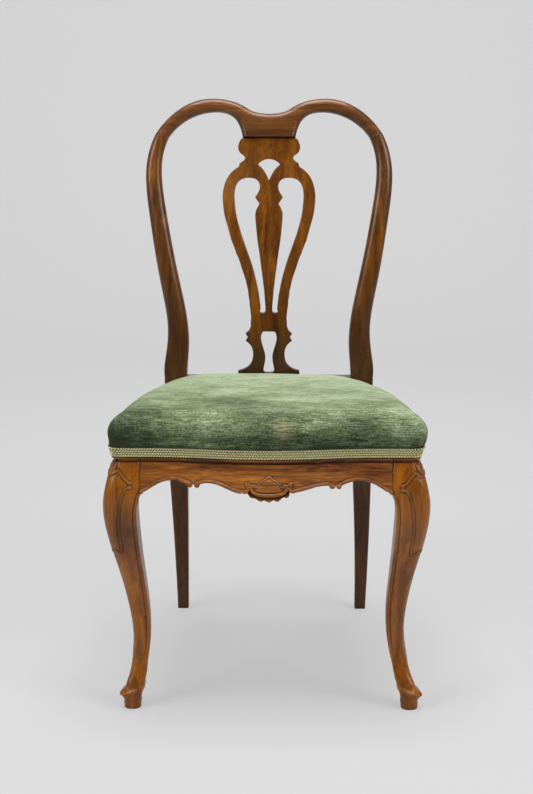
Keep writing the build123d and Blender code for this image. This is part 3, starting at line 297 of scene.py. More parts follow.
softbox("softbox_left", (-2.6, -1.6, 2.2), (0, 0, 0.5), 1.6, 58)
softbox("softbox_right", (2.6, -1.4, 2.2), (0, 0, 0.5), 1.6, 62)
softbox("softbox_top", (0.0, -0.1, 3.0), (0, 0, 0.4), 1.6, 84)
bpy.context.scene.view_settings.view_transform = "Standard"
print("studio: paper", len(paper_faces), "faces and three softboxes")

# %% [markdown]
# ## Walnut
# The frame is walnut under old wax. Its long fibres give streaks that run along each piece, short dark pores
# and a slow change from honey to dark brown. The hollows are darkened, partly by old wax and partly as
# painted shade, and a few large patches are painted highlight and painted shade. A plank picture would do,
# but noise that is stretched along the grain follows every cut through the solid, so end grain and curves
# look right. Each piece gets the direction of its own plank and its own tone.


# %% Walnut
STREAK = 2.2  # width of a growth streak in mm
FIGURE = 22.0  # width of the slow figure in mm
PORE = 0.9  # width of a pore in mm, drawn a little coarse so that it shows
BLOTCH = 1000 / 9  # size of a paler patch in mm
ALONG = 14.0  # how much longer than wide the grain is
WAX_AND_SHADE_REACH = 0.006  # hollows of this size in m are darkened: old wax, and painted shade
LEG_LESS_DARK = 0.35  # the wood is darkened less below this height
LIP_MIDDLE = 0.437  # height of the moulded lip in m
LIP_HALF = 0.0036
GROOVE = 0.4331  # height of the groove under the lip in m
GROOVE_HALF = 0.0011
# share of painted shade in the groove under the lip
GROOVE_SHADE = 0.8


def walnut(name, grain, dark, middle, light, crevice_wax_and_shade=0.75, gloss=0.33, lip_darkening=0.0, waxed=None, spots=()):
    """Waxed walnut with its grain along one axis.

    The lip is darkened by a share and the groove under it gets painted shade, the wood is darker below a
    height, and each spot is a mark seen from the front: (x, z, radius, share, tone), with the lengths in plan
    millimetres. Some spots are painted highlight and painted shade.
    """
    material, tree, shader, place_in_wood = new_material(name)
    stretch = [1.0, 1.0, 1.0]
    stretch["XYZ".index(grain)] = 1.0 / ALONG
    wood = add(tree, "Mapping", {"Vector": place_in_wood, "Scale": stretch}).outputs["Vector"]
    figure = cloud(tree, wood, FIGURE, Detail=5.0, Roughness=0.6, Distortion=0.9)
    streak = cloud(tree, wood, STREAK, Detail=3.0, Distortion=0.3)
    pores = cloud(tree, wood, PORE, Detail=1.0)
    blotch = cloud(tree, place_in_wood, BLOTCH, Detail=2.0)
    both = add(tree, "Mix", {0: 0.32, 2: figure, 3: streak}, data_type="FLOAT").outputs[0]
    colour = ramp(tree, both, [(0.37, dark), (0.5, middle), (0.63, light)])
    honey = add(tree, "HueSaturation", {"Saturation": 1.06, "Value": 1.32, "Color": colour}).outputs["Color"]
    colour = blend(tree, remap(tree, blotch, (0.35, 0.7)), colour, honey)
    pore_dark = remap(tree, pores, (0.33, 0.43), (0.72, 1.0))
    colour = blend(tree, 1.0, colour, pore_dark, blend_type="MULTIPLY")
    # the hollows are darkened: partly old wax, partly painted shade
    hollow = add(tree, "AmbientOcclusion", {"Distance": WAX_AND_SHADE_REACH}, samples=6).outputs["AO"]
    colour = blend(tree, remap(tree, hollow, (0.35, 0.95), (crevice_wax_and_shade, 0.0)), colour, linear("#1d0f07"))
    height = add(tree, "SeparateXYZ", {"Vector": place_in_wood}).outputs["Z"]
    # the lip is darkened; the groove under it gets painted shade
    lip_dark_and_groove_shade = [(LIP_MIDDLE, LIP_HALF, lip_darkening, "#2a160b"), (GROOVE, GROOVE_HALF, GROOVE_SHADE, "#120903")]
    for level, half, share, tone in lip_dark_and_groove_shade if lip_darkening else []:
        inside = add(tree, "Math", {0: height, 1: level, 2: half}, operation="COMPARE").outputs[0]
        colour = blend(tree, combine(tree, "MULTIPLY", inside, share), colour, linear(tone))
    # the wood is darker towards the seat and below it, fading out higher up
    if waxed:
        full, clear, share = waxed
        low = remap(tree, height, (full * MM, clear * MM), (share, 0.0))
        above = remap(tree, height, (LEG_LESS_DARK, LIP_MIDDLE), (0.5, 1.0))
        colour = blend(tree, combine(tree, "MULTIPLY", low, above), colour, linear("#1c0e05"))
    flat = add(tree, "Mapping", {"Vector": place_in_wood, "Scale": (1.0, 0.0, 1.0)}).outputs["Vector"]
    for x, z, radius, share, tone in spots:
        middle_of_spot = (x * MM, 0.0, z * MM)
        gap = add(tree, "VectorMath", {0: flat, 1: middle_of_spot}, operation="DISTANCE").outputs["Value"]
        colour = blend(tree, remap(tree, gap, (0.0, radius * MM), (share, 0.0)), colour, linear(tone))
    rough = remap(tree, both, (0.0, 1.0), (gloss + 0.12, gloss - 0.04))
    relief = bumps(tree, combine(tree, "MULTIPLY", streak, pore_dark), 0.25, 0.0004)
    plug(tree, shader, {"Base Color": colour, "Roughness": rough, "Normal": relief})
    plug(tree, shader, {"Specular IOR Level": 0.3, "Coat Weight": 0.12, "Coat Roughness": 0.2})
    return material


GRIME_AND_SHADE = "#150a04"
WEAR_AND_HIGHLIGHT = "#a8713a"
LEG_SPOTS = [
    (-226.0, 318.0, 55.0, 0.6, GRIME_AND_SHADE),  # painted shade: the left leg is darker here
    (-201.5, 158.0, 4.0, 0.9, GRIME_AND_SHADE),  # a knot
    # painted highlight: the right leg is paler here
    (226.0, 318.0, 60.0, 0.16, WEAR_AND_HIGHLIGHT),
]
POST_SPOTS = [
    (169.6, 519.0, 2.6, 0.9, GRIME_AND_SHADE),  # three old nail holes
    (169.6, 499.0, 2.8, 0.9, GRIME_AND_SHADE),
    (169.0, 489.0, 4.0, 0.7, GRIME_AND_SHADE),
    (-187.0, 764.0, 15.0, 0.35, WEAR_AND_HIGHLIGHT),
]
SPLAT_SPOTS = [
    (3.5, 897.0, 6.0, 0.7, GRIME_AND_SHADE),  # a smudge
    (-66.0, 812.0, 60.0, 0.3, WEAR_AND_HIGHLIGHT),  # painted highlight on the left strap, where the light falls
]
POST_DARKER_LOW = (530.0, 680.0, 0.55)  # full below, gone above, share
SPLAT_DARKER_LOW = (520.0, 640.0, 0.8)
walnut_leg = walnut(
    "waxed_walnut_legs", "Z", "#57300b", "#78430e", "#925917", gloss=0.29, lip_darkening=0.18, spots=LEG_SPOTS
)
walnut_apron = walnut("waxed_walnut_front_rail", "X", "#442410", "#7a4923", "#a26b36", lip_darkening=0.18)
walnut_side = walnut("waxed_walnut_side_rails", "Y", "#42250b", "#6b3f18", "#875824", lip_darkening=0.18)
walnut_post = walnut(
    "waxed_walnut_posts", "Z", "#371f0b", "#543112", "#6e441b", gloss=0.26, waxed=POST_DARKER_LOW, spots=POST_SPOTS
)
walnut_crest = walnut("waxed_walnut_crest", "X", "#3a200e", "#56341a", "#744a28", gloss=0.26)
walnut_splat = walnut(
    "waxed_walnut_splat", "Z", "#3f2008", "#5e340b", "#7b4a15", gloss=0.27, waxed=SPLAT_DARKER_LOW, spots=SPLAT_SPOTS
)
print("walnut: six tones")

# %% [markdown]
# ## The plain pieces of the frame
# Shoe and rear rail keep their CAD shape. The corners of worked wood are never razor sharp, so a fine
# bevel eases them, after a weld that joins the triangles of each solid.

# %% The plain pieces of the frame
EASED_EDGE = 1.0
EASED_ANGLE = 38.0  # edges sharper than this are eased
WELD_REACH = 0.00002


def ease(name, width, material):
    """Gives a CAD node its wood and eases its edges."""
    piece = nodes[name]
    piece.data.materials.clear()
    piece.data.materials.append(material)
    piece.data.polygons.foreach_set("use_smooth", [True] * len(piece.data.polygons))
    weld = piece.modifiers.new("join", "WELD")
    weld.merge_threshold = WELD_REACH
    bevel = piece.modifiers.new("ease", "BEVEL")
    bevel.width = width * MM
    bevel.segments = 3
    bevel.limit_method = "ANGLE"
    bevel.angle_limit = math.radians(EASED_ANGLE)
    bevel.harden_normals = False
    normals = piece.modifiers.new("normals", "WEIGHTED_NORMAL")
    normals.keep_sharp = False


ease("splat_shoe", EASED_EDGE, walnut_crest)
ease("rear_seat_rail", EASED_EDGE, walnut_crest)
print("plain walnut pieces eased")

# %% [markdown]
# ## Carving tools
# Legs and front rail are carved in low relief: beads along the edges, scrolls, small balls and a shell. The
# relief could be modelled by hand in sculpt mode. Here each blank is remeshed finely, and a few drawn lines
# say where a bead stands up. Every point of the blank then moves along its normal, so the relief follows
# the swelling faces as a carver's gouge does. Where the photograph's outline runs a little differently from
# the CAD model's, the blank is first reshaped to follow it.

# %% Carving tools
FINE_VOXEL = 0.9  # size of the blank's facets in mm
CARVE_VOXEL = FINE_VOXEL
RUB_STEPS = 20  # sanding comes in this many strengths
BALL_GROOVE = 1.2  # depth of the groove round a knob
GROOVE_HEIGHT = 1.2  # half height of the groove under the lip
QUIRK = 0.9  # half width of the groove beside a bead, and its usual depth
JOIN_REACH = 0.01  # points of a solid that lie this close are one
SQUARE = 0.5  # how squarely a face looks out that counts for a rail's edge
TURNING = (0.12, 0.5)  # how squarely a face has to look out before it is carved, and is fully carved
CAD_LIP_FOOT = 429.6  # height of the lip's foot in the CAD model
LIP_FOOT = 433.5  # the carved lip is slimmer, with a groove under it at this height
LIP_BLEND = 412.0  # the face below is stretched from here
LIP_QUIRK = 3.0
CUT_UNDER = 0.5  # a groove is gone where raised work stands this high
SEAM_REACH = 4.0  # wood this close to the joint of leg and rail swells to close it
SEAM_SWELL = 1.6
SEAM_TOP = RAIL_TOP + 1.0
print("blanks get facets of", CARVE_VOXEL, "mm")


# %% Drawn lines
def curve(points, step=0.6):
    """A smooth line through drawn points."""
    p = np.array([points[0], *points, points[-1]], float)
    out = []
    for a, b, c, d in zip(p[:-3], p[1:-2], p[2:-1], p[3:]):
        count = max(int(np.linalg.norm(c - b) / step), 2)
        t = np.linspace(0, 1, count, endpoint=False)[:, None]
        bend = (a - 2.5 * b + 2 * c - d / 2) * t**2 + (1.5 * (b - c) + (d - a) / 2) * t**3
        out.append(b + (c - a) * t / 2 + bend)
    return np.vstack([*out, p[-1:]])


def away(u, z, line):
    """Distance of every point from a line."""
    best = np.full(len(u), np.inf)
    for a, b in zip(line[:-1], line[1:]):
        run = b - a
        share = np.clip(((u - a[0]) * run[0] + (z - a[1]) * run[1]) / max(run @ run, 1e-9), 0, 1)
        best = np.minimum(best, np.hypot(u - a[0] - share * run[0], z - a[1] - share * run[1]))
    return best


def lower_edge(u, z, chosen, first, last, step=2.0):
    """The lower edge of the chosen points between two places, smoothed."""
    at = np.arange(first, last + step, step)
    low = np.array([z[chosen & (np.abs(u - a) <= step)].min() for a in at])
    weights = np.array([1, 2, 3, 2, 1]) / 9
    return np.column_stack([at, np.convolve(np.pad(low, 2, mode="edge"), weights, mode="valid")])


def beside(line, rise):
    """A line moved sideways, to the left of its run."""
    run = np.gradient(line, axis=0)
    run /= np.linalg.norm(run, axis=1, keepdims=True)
    return line + rise * np.column_stack([-run[:, 1], run[:, 0]])


print("tools for lines ready")


# %% Beads, balls and grooves
def bead(relief, u, z, line, half, height, quirk=QUIRK):
    """Raises a round bead along a line, with a narrow groove on both sides of it."""
    margin = half + 4 * QUIRK
    low, high = line.min(axis=0) - margin, line.max(axis=0) + margin
    near = np.flatnonzero((u > low[0]) & (u < high[0]) & (z > low[1]) & (z < high[1]))
    gap = away(u[near], z[near], line)
    raised, cut = relief
    raised[near] = np.maximum(raised[near], height * np.sqrt(np.clip(1 - (gap / half) ** 2, 0, None)))
    cut[near] = np.maximum(cut[near], quirk * np.exp(-(((gap - half - QUIRK / 2) / QUIRK) ** 2)))


def ball(relief, u, z, centre, radius, height):
    """Raises a round knob, as at the eye of a scroll."""
    bead(relief, u, z, np.array([centre, centre], float), radius, height, BALL_GROOVE)


def lip_quirk(relief, z):
    """Cuts the narrow groove that sets the lip off from the rail below it."""
    relief[1][:] = np.maximum(relief[1], LIP_QUIRK * np.exp(-(((z - LIP_FOOT) / GROOVE_HEIGHT) ** 2)))


def facing(outward):
    """Share of the relief that a face takes, by how squarely it looks out."""
    return np.clip((outward - TURNING[0]) / (TURNING[1] - TURNING[0]), 0, 1)


def depth_of(relief):
    """Raised work stays whole, and the grooves fade under it."""
    raised, cut = relief
    return raised - cut * np.clip(1 - raised / CUT_UNDER, 0, 1)


print("tools for relief ready")


# %% Carving
def remeshed(piece, voxel):
    """Gives a piece even facets of this size in millimetres."""
    facets = piece.modifiers.new("facets", "REMESH")
    facets.mode = "VOXEL"
    facets.voxel_size = voxel * MM
    bpy.context.view_layer.update()
    mesh = bpy.data.meshes.new_from_object(piece.evaluated_get(bpy.context.evaluated_depsgraph_get()))
    piece.modifiers.clear()
    piece.data = mesh
    return mesh


def vectors(items, key="co"):
    """The places or directions of a mesh's points, one in each row."""
    flat = np.empty(len(items) * 3)
    items.foreach_get(key, flat)
    return flat.reshape(-1, 3)


def carve(name, relief_of, material, reshape=None, sanded=0, rubbed=None):
    """A carved copy of a CAD node. The relief gets points and normals in plan millimetres.

    Sanding takes the edges off, as often as said for the finest blank, and where rubbed says so.
    """
    source = nodes[name]
    blank = bmesh.new()
    blank.from_mesh(source.data)
    bmesh.ops.remove_doubles(blank, verts=blank.verts, dist=JOIN_REACH * MM)
    rough = bpy.data.meshes.new(name + "_blank")
    blank.to_mesh(rough)
    blank.free()
    piece = add_piece("carved_" + name, rough)
    piece.matrix_world = source.matrix_world
    mesh = remeshed(piece, CARVE_VOXEL)
    spots, normals = vectors(mesh.vertices), vectors(mesh.vertex_normals, "vector")
    world = np.array(source.matrix_world)
    plan = (spots @ world[:3, :3].T + world[:3, 3] - [0, lip_y, 0]) / MM
    shaped = reshape(plan, normals) if reshape else plan.copy()
    slim = np.interp(shaped[:, 2], [LIP_BLEND, CAD_LIP_FOOT, LIP_TOP], [0.0, 1.0, 0.0])
    shaped[:, 2] += (LIP_FOOT - CAD_LIP_FOOT) * slim
    spots += (shaped - plan) * MM
    plan = shaped
    height = relief_of(plan, normals @ world[:3, :3].T) if relief_of else np.zeros(len(plan))
    off = np.abs(plan[:, 0]) - LEG_INNER
    in_joint = (plan[:, 2] > SPRING) & (plan[:, 2] < SEAM_TOP)
    close = np.where(in_joint, np.clip(1 - np.abs(off) / SEAM_REACH, 0, 1), 0)
    spots[:, 0] -= np.sign(plan[:, 0]) * np.sign(off) * close * SEAM_SWELL * MM
    mesh.vertices.foreach_set("co", (spots + normals * height[:, None] * MM).ravel())
    mesh.polygons.foreach_set("use_smooth", [True] * len(mesh.polygons))
    mesh.update()
    mesh.materials.clear()
    mesh.materials.append(material)
    if sanded:
        rub = piece.modifiers.new("sanded", "SMOOTH")
        rub.iterations = max(1, round(sanded * (FINE_VOXEL / CARVE_VOXEL) ** 2))
        if rubbed:
            group = piece.vertex_groups.new(name="rubbed")
            steps = np.round(rubbed(plan) * RUB_STEPS)
            for step in range(1, RUB_STEPS + 1):
                group.add(np.flatnonzero(steps == step).tolist(), step / RUB_STEPS, "REPLACE")
            rub.vertex_group = group.name
    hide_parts(name)
    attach(piece, "root")
    print("carved", name, len(plan), "points, relief", np.round([height.min(), height.max()], 2), "mm")


print("carving ready")

# %% [markdown]
# ## Posts, crest rail and splat
# Stiles and crest rail are rounded by hand, so their copies are sanded until the edges run over. Sanding
# takes some wood off, so the blanks start a little fuller. At the joints they keep the CAD model's section,
# and so does everything below the seat. The splat is sawn from a board and pierced. In the photograph its
# straps stand a little further out than in the CAD model, the slots are wider and the waist is stouter. A
# few drawn widths say where the edges run, and each point moves with the edge next to it.

# %% Posts, crest rail and splat
BACK_SANDED = 420  # passes of sanding
BACK_FULL = 0.9  # the blank is this much fuller where it is sanded
POST_RUBBED = ([500.0, 545.0, 885.0, 910.0], [0, 1, 1, 0])  # heights and shares
CREST_RUBBED = ([918.0, 944.0], [0, 1])
SPLAT_SANDED = 2
SPLAT_DRAWN = [  # height, then half widths: baluster, inside of the strap, outside of the strap
    (562.0, 6.3, 14.6, 39.4),
    (567.0, 6.3, 14.6, 36.6),
    (574.0, 6.3, 14.6, 34.6),
    (581.0, 6.3, 14.6, 34.2),
    (590.0, 6.3, 14.6, 34.3),
    (601.0, 6.5, 14.8, 34.9),
    (617.0, 7.2, 17.0, 36.0),
    (636.0, 8.6, 19.9, 38.5),
    (655.0, 11.0, 23.8, 42.7),
    (678.0, 14.2, 29.8, 50.6),
    (705.0, 17.8, 38.8, 61.0),
    (728.0, 21.2, 47.0, 70.0),
    (752.0, 23.6, 54.6, 76.4),
]
SPLAT_CHANGED = (556.0, 790.0)  # the CAD outline holds below and above
SPLAT_STEP = 4.0
NEAR = 2.0  # points this close to a height count for it
SIDEWAYS = 0.6  # how squarely a sawn edge looks to the side
SLOT_FOOT = 590.0  # no slot reaches below
SLOT_STRAIGHT = 604.0  # above the slots' round ends
SHOULDER_RISE = 2.3  # closes the sight line through the open joint under the crest
SHOULDER_FROM = 902.0
SHOULDER_BLEND = 3.0


def splat_widths(u, z, outward, heights):
    """Half widths of baluster and strap at some heights, as the board is sawn."""
    widths = []
    for h in heights:
        near = np.abs(z - h) < NEAR
        inside, baluster = SPLAT_DRAWN[0][2], SPLAT_DRAWN[0][1]
        if h > SLOT_FOOT:
            slot = np.abs(z - max(h, SLOT_STRAIGHT)) < NEAR
            inside = u[slot & (outward < -SIDEWAYS)].mean()
            baluster = u[slot & (outward > SIDEWAYS) & (u < inside)].mean()
        widths.append((baluster, inside, u[near].max()))
    return np.array(widths)


def splat_shape(plan, normals):
    """Moves the edges of straps and baluster to the drawn widths."""
    x, z = plan[:, 0], plan[:, 2]
    u, outward = np.abs(x), np.sign(x) * normals[:, 0]
    heights = np.arange(*SPLAT_CHANGED, SPLAT_STEP)
    have = splat_widths(u, z, outward, heights)
    drawn = np.array(SPLAT_DRAWN)
    change = drawn[:, 1:] - splat_widths(u, z, outward, drawn[:, 0])
    places = np.concatenate([SPLAT_CHANGED[:1], drawn[:, 0], SPLAT_CHANGED[1:]])
    change = np.vstack([np.zeros(3), change, np.zeros(3)])
    old = [np.zeros(len(u)), *(np.interp(z, heights, have[:, k]) for k in range(3))]
    move = [np.zeros(len(u)), *(np.interp(z, places, change[:, k]) for k in range(3))]
    shift = np.zeros(len(u))
    for k in range(3):
        share = np.clip((u - old[k]) / np.maximum(old[k + 1] - old[k], 0.5), 0, 1)
        shift += (move[k + 1] - move[k]) * share
    shaped = plan.copy()
    shaped[:, 0] += np.sign(x) * shift
    shaped[:, 2] += SHOULDER_RISE * np.clip((z - SHOULDER_FROM) / SHOULDER_BLEND, 0, 1)
    print("splat: edges moved by up to", np.round(np.abs(change).max(axis=0), 1), "mm")
    return shaped


def round_over(name, material, heights_and_shares):
    """Carves a copy with its edges sanded over, by shares that change with height."""

    def share(plan):
        return np.interp(plan[:, 2], *heights_and_shares)

    carve(name, lambda plan, normals: BACK_FULL * share(plan), material, sanded=BACK_SANDED, rubbed=share)


round_over("rear_post_left", walnut_post, POST_RUBBED)
round_over("rear_post_right", walnut_post, POST_RUBBED)
round_over("crest_rail", walnut_crest, CREST_RUBBED)
carve("back_splat", None, walnut_splat, splat_shape, sanded=SPLAT_SANDED)

# %% [markdown]
# ## The front rail
# A bead runs along the scalloped edge from the legs to a pair of scrolls and on to the middle, where it
# curls up to a ball. The middle holds a small bowl between two scrolls, with a pointed cap and a finial
# above it and a ribbed shell below. The bowl is drawn once, by the distance from its middle, and the rail's
# lower edge twice, because its halves differ.

# %% The front rail
BEAD_HALF = 2.6
BEAD_HEIGHT = 2.0
BEAD_RISE = 2.5  # middle of the bead above the rail's edge
SHELL_HALF = 37.0
SHELL_PITCH = 14.5  # from scallop to scallop
BOWL = [(29.0, 400.0), (28.6, 395.0), (25.5, 390.4), (19.5, 387.2), (10.0, 385.4), (0.0, 385.0)]
BOWL_BEAD = (2.7, 2.9, 1.4)  # half width, height, depth of the groove beside it
BOWL_SCROLL = ((24.6, 399.8), 3.6)  # place, radius
BOWL_CLEAR = 2.4  # the shell begins this far from the bowl's line
BOWL_UNDER = 2.0  # and this far below the bowl
CAP = [(24.0, 397.5), (19.5, 398.2), (16.5, 401.0), (12.5, 406.4), (8.5, 408.2), (5.2, 410.4), (2.6, 414.0)]
CAP_BEAD = (1.2, 1.0, 0.9)
FINIAL = ((0.0, 414.4), 2.6, 2.0)  # place, radius, height
DOME_HALF = 24.0
DOME_HEIGHT = 1.6
SHELL_TOP = 395.0  # the shell's ends reach up to here beside the bowl
SHELL_RUN = 7.0  # from the bowl to where the ribs are whole
SHELL_BACK = 5.5
SHELL_FADE = 4.0
SHELL_YIELDS = 0.3  # to raised work that is higher than this
RIB_HEIGHT = 2.6
RIB_LEVEL = 0.6  # share of a rib that lies under the face
TURN = [(33.6, 400.0), (33.4, 394.6), (36.6, 391.6)]  # here the bead curls up beside the bowl
TURN_BALL = ((34.6, 402.0), 4.2)
TRAIL_FROM = 42.0
SCROLL_CLEAR = 5.5  # the bead leaves the edge this far from a scroll
SCROLL_NECK = (2.4, 3.0)  # and bends to it over this point
SCROLL_HEIGHT = BEAD_HEIGHT + 0.9
JOINT = [(199.5, 388.6), (202.5, 385.0)]  # the bead passes from the rail to the leg here
JOINT_HEIGHTS = np.arange(SPRING + 14.0, CAD_LIP_FOOT - 4.0, 3.0)  # faces of leg and rail are compared here
JOINT_NEAR = 5.0
JOINT_BAND = 3.0
LOOKS_FRONT = -0.4
LEFT_EDGE = [
    (38.5, 387.0), (50.5, 390.2), (62.5, 395.0), (74.5, 399.6), (86.5, 402.4), (98.5, 402.8), (106.5, 401.0),
    (117.5, 400.0), (127.5, 400.4), (134.5, 402.6), (142.5, 405.0),
    (154.6, 405.0), (166.6, 402.5), (178.6, 397.2), (190.0, 390.4),
]
RIGHT_EDGE = [
    (40.0, 388.5), (57.6, 392.2), (77.5, 396.6), (93.5, 398.8), (101.5, 398.6), (112.0, 398.6),
    (121.6, 399.6), (133.6, 403.4), (149.6, 405.0), (165.5, 402.3), (177.6, 397.7), (190.0, 390.0),
]
SHELL_EDGE = [
    (0.0, 374.8), (8.0, 375.6), (15.9, 376.6), (22.5, 379.2), (29.8, 382.0), (33.5, 385.0), (36.0, 388.0),
]
SCALLOP = 1.6  # depth of the notch between two scallops
MIDDLE = 4.4  # the bowl was carved this far to the right of the rail's middle
EDGE_HOLD = 424.0  # the rail keeps its shape above this height
EDGE_EASE = 2.5
EDGE_END = 4.0  # the drawn edge runs into the leg over this length
SCROLL_END = 4.6
SCROLLS = {-1: (111.8, 123.2, 399.2), 1: (106.6, 117.2, 397.6)}  # places and height of the paired scrolls
print("front rail: lower edge drawn with", len(LEFT_EDGE + RIGHT_EDGE + SHELL_EDGE), "points")


# %% The rail's lower edge
def rail_shape(plan, normals):
    """Draws the rail's lower edge: the two halves differ, and the bowl sits off the middle."""
    x, z = plan[:, 0], plan[:, 2]
    edge = lower_edge(np.abs(x), z, -normals[:, 1] > SQUARE, 0.0, LEG_INNER - 1.0)
    left, right, shell = curve(LEFT_EDGE), curve(RIGHT_EDGE), curve(SHELL_EDGE)
    shell[:, 1] += SCALLOP * (1 - np.abs(np.cos(np.pi * shell[:, 0] / SHELL_PITCH)))
    near_leg = LEG_INNER - EDGE_END
    ends = np.array([[near_leg, np.interp(near_leg, *edge.T)], [LEG_INNER, edge[-1, 1]]])
    drawn = np.vstack([
        np.vstack([left, ends])[::-1] * [-1, 1],
        shell[::-1] * [-1, 1] + [MIDDLE, 0],
        shell[1:] + [MIDDLE, 0],
        np.vstack([right, ends]),
    ])
    drawn = drawn[np.argsort(drawn[:, 0])]
    have = np.interp(np.abs(x), *edge.T)
    low = np.interp(x, *drawn.T)
    for side, (inside, outside, rise) in SCROLLS.items():
        for middle in (side * inside, side * outside):
            round_end = rise - np.sqrt(np.clip(SCROLL_END**2 - (x - middle) ** 2, 0, None))
            low = np.where(np.abs(x - middle) < SCROLL_END, np.minimum(low, round_end), low)
    share = np.clip((EDGE_HOLD - z) / (EDGE_HOLD - have), 0, 1) ** EDGE_EASE
    shaped = plan.copy()
    shaped[:, 2] += (low - have) * share
    return shaped


print("lower edge ready")

# %% The rail's relief
rail_face = {}  # depths of the rail's face at its two ends


def face_depths(plan, near):
    """Mean depth of the chosen points at the heights of the joint."""
    y, z = plan[:, 1], plan[:, 2]
    return np.array([y[near & (np.abs(z - h) < JOINT_BAND)].mean() for h in JOINT_HEIGHTS])


def rail_relief(plan, normals):
    """Relief on the front rail, and a note of where its face ends beside the legs."""
    x, z = plan[:, 0], plan[:, 2]
    for side in (-1, 1):
        near = (side * x > LEG_INNER - JOINT_NEAR) & (normals[:, 1] < LOOKS_FRONT)
        rail_face[side] = face_depths(plan, near)
    relief = np.zeros(len(x)), np.zeros(len(x))
    lip_quirk(relief, z)
    for side, drawn in ((-1, LEFT_EDGE), (1, RIGHT_EDGE)):
        u = side * x
        inside, outside, rise = SCROLLS[side]
        trail = beside(curve(drawn), BEAD_RISE)
        leave = [(outside, rise), (outside + SCROLL_NECK[0], rise + SCROLL_NECK[1])]
        arrive = [(inside - SCROLL_NECK[0], rise + SCROLL_NECK[1]), (inside, rise)]
        outer = trail[trail[:, 0] > outside + SCROLL_CLEAR]
        inner = trail[(trail[:, 0] > TRAIL_FROM) & (trail[:, 0] < inside - SCROLL_CLEAR)]
        middle = side * MIDDLE
        turn = curve([*((a + middle, b) for a, b in TURN), inner[0]])
        bead(relief, u, z, np.vstack([leave, outer, JOINT]), BEAD_HALF, BEAD_HEIGHT)
        bead(relief, u, z, np.vstack([turn, inner, arrive]), BEAD_HALF, BEAD_HEIGHT)
        for at in (outside, inside):
            ball(relief, u, z, (at, rise), SCROLL_END, SCROLL_HEIGHT)
        (at, high), radius = TURN_BALL
        ball(relief, u, z, (at + middle, high), radius, SCROLL_HEIGHT)
    u = np.abs(x - MIDDLE)
    ball(relief, u, z, *BOWL_SCROLL, SCROLL_HEIGHT)
    bead(relief, u, z, curve(BOWL), *BOWL_BEAD)
    bead(relief, u, z, curve(CAP), *CAP_BEAD)
    ball(relief, u, z, *FINIAL)
    height = depth_of(relief)
    # the bowl is filled by a low dome between the cap and the band
    rim = BOWL[1:]
    top = np.interp(u, *np.array(CAP[::-1]).T)
    bottom = np.interp(u, *np.array(rim[::-1]).T)
    share = np.clip((z - bottom) / np.maximum(top - bottom, 1.0), 0, 1)
    height += np.where(u < DOME_HALF, DOME_HEIGHT * np.sin(np.pi * share) * (1 - (u / DOME_HALF) ** 2), 0)
    # the shell lies back under the bowl, and its ribs come forward to the scallops
    gap = away(u, z, curve(BOWL))
    below = z < np.where(u < rim[0][0], bottom - BOWL_UNDER, SHELL_TOP)
    under = (u < SHELL_HALF) & below & (gap > BOWL_CLEAR)
    span = np.clip((gap - BOWL_CLEAR) / SHELL_RUN, 0, 1)
    ribs = np.abs(np.cos(np.pi * u / SHELL_PITCH)) - RIB_LEVEL
    shell = RIB_HEIGHT * ribs * span - SHELL_BACK * (1 - span)
    shell *= np.clip((SHELL_HALF - u) / SHELL_FADE, 0, 1)
    height += np.where(under & (relief[0] < SHELL_YIELDS), shell, 0)
    return height * facing(-normals[:, 1])


carve("front_seat_rail", rail_relief, walnut_apron, rail_shape)

# %% [markdown]
# ## The front legs
# Each knee carries a leaf under the corner of the lip, a C-scroll that turns in to a volute, and a second
# volute from which a fine line runs down and hooks back to the corner. A bead follows the inner edge down
# to the foot, where a raised rim turns round the toe. The pattern stands on both outer faces of a leg, so
# it is drawn once and laid on the front and, by the distance from the side, on the flank.

# %% The front legs
KNEE_SCROLL = [
    (258.0, 414.0), (252.0, 411.6), (246.5, 412.8), (241.4, 417.0), (236.0, 413.4), (229.0, 404.6),
    (223.6, 399.6),
]
KNEE_LINE = [
    (221.5, 391.5), (226.5, 389.0), (231.1, 382.0), (235.5, 369.0), (238.0, 351.0), (239.5, 329.0),
    (238.6, 303.0),
]
KNEE_HOOK = [(238.6, 303.0), (236.0, 284.0), (237.5, 278.6), (243.0, 279.0), (249.0, 283.0), (254.0, 284.5)]
LEAVES = [[(257.0, 415.0), (251.0, 423.0), (246.5, 432.0)], [(251.5, 414.5), (246.5, 421.0), (243.0, 427.5)]]
VOLUTES = [((220.4, 398.0), 3.1), ((220.6, 391.0), 3.3)]  # places, radii
VOLUTE_HEIGHT = 2.2
SCROLL_BEAD = (2.0, 1.6, 1.3)  # half width, height, depth of the groove beside it
LINE_BEAD = (1.3, 0.9, 1.3)
HOOK_BEAD = (1.4, 1.0, 1.3)
LEAF_BEAD = (2.3, 2.0, 1.6)
EDGE_BEAD = (2.3, 1.5, 1.5)
EDGE_TOP = 376.0  # the inner edge is measured from here down
EDGE_STEP = 3.0
EDGE_SQUARE = 0.35
CORNER_TURN = 1.5  # how fast the front's pattern gives way to the flank's
KNEE_RISE = {-1: 2.0, 1: -1.4}  # the left knee is carved a little higher
BEAD_FADE = (70.0, 115.0)  # heights where the bead on the inner edge is gone, and is whole
RIDGE = 36.0  # height of the toe's ridge in the CAD model
RIDGE_BAND = 3.0
FOOT_HEIGHTS = ([0.0, 23.0, RIDGE, 50.0, 78.0], [0.0, 10.5, 27.0, 44.5, 78.0])  # CAD height, carved height
FOOT_REACH = (14.0, 90.0)  # the ridge is lifted between these heights
FOOT_WIDE = 40.0
RIM_LIFT = 9.0  # the rim climbs this far from the toe to the inner sides
RIM_REAR = 0.6  # and this share of it to the rear
TOE_POINT = 9.0
TOE_RIM = (1.6, 1.5, 1.9)  # height, place above the ridge, half width
TOE_HOLLOW = (-2.0, 8.0, 4.0)
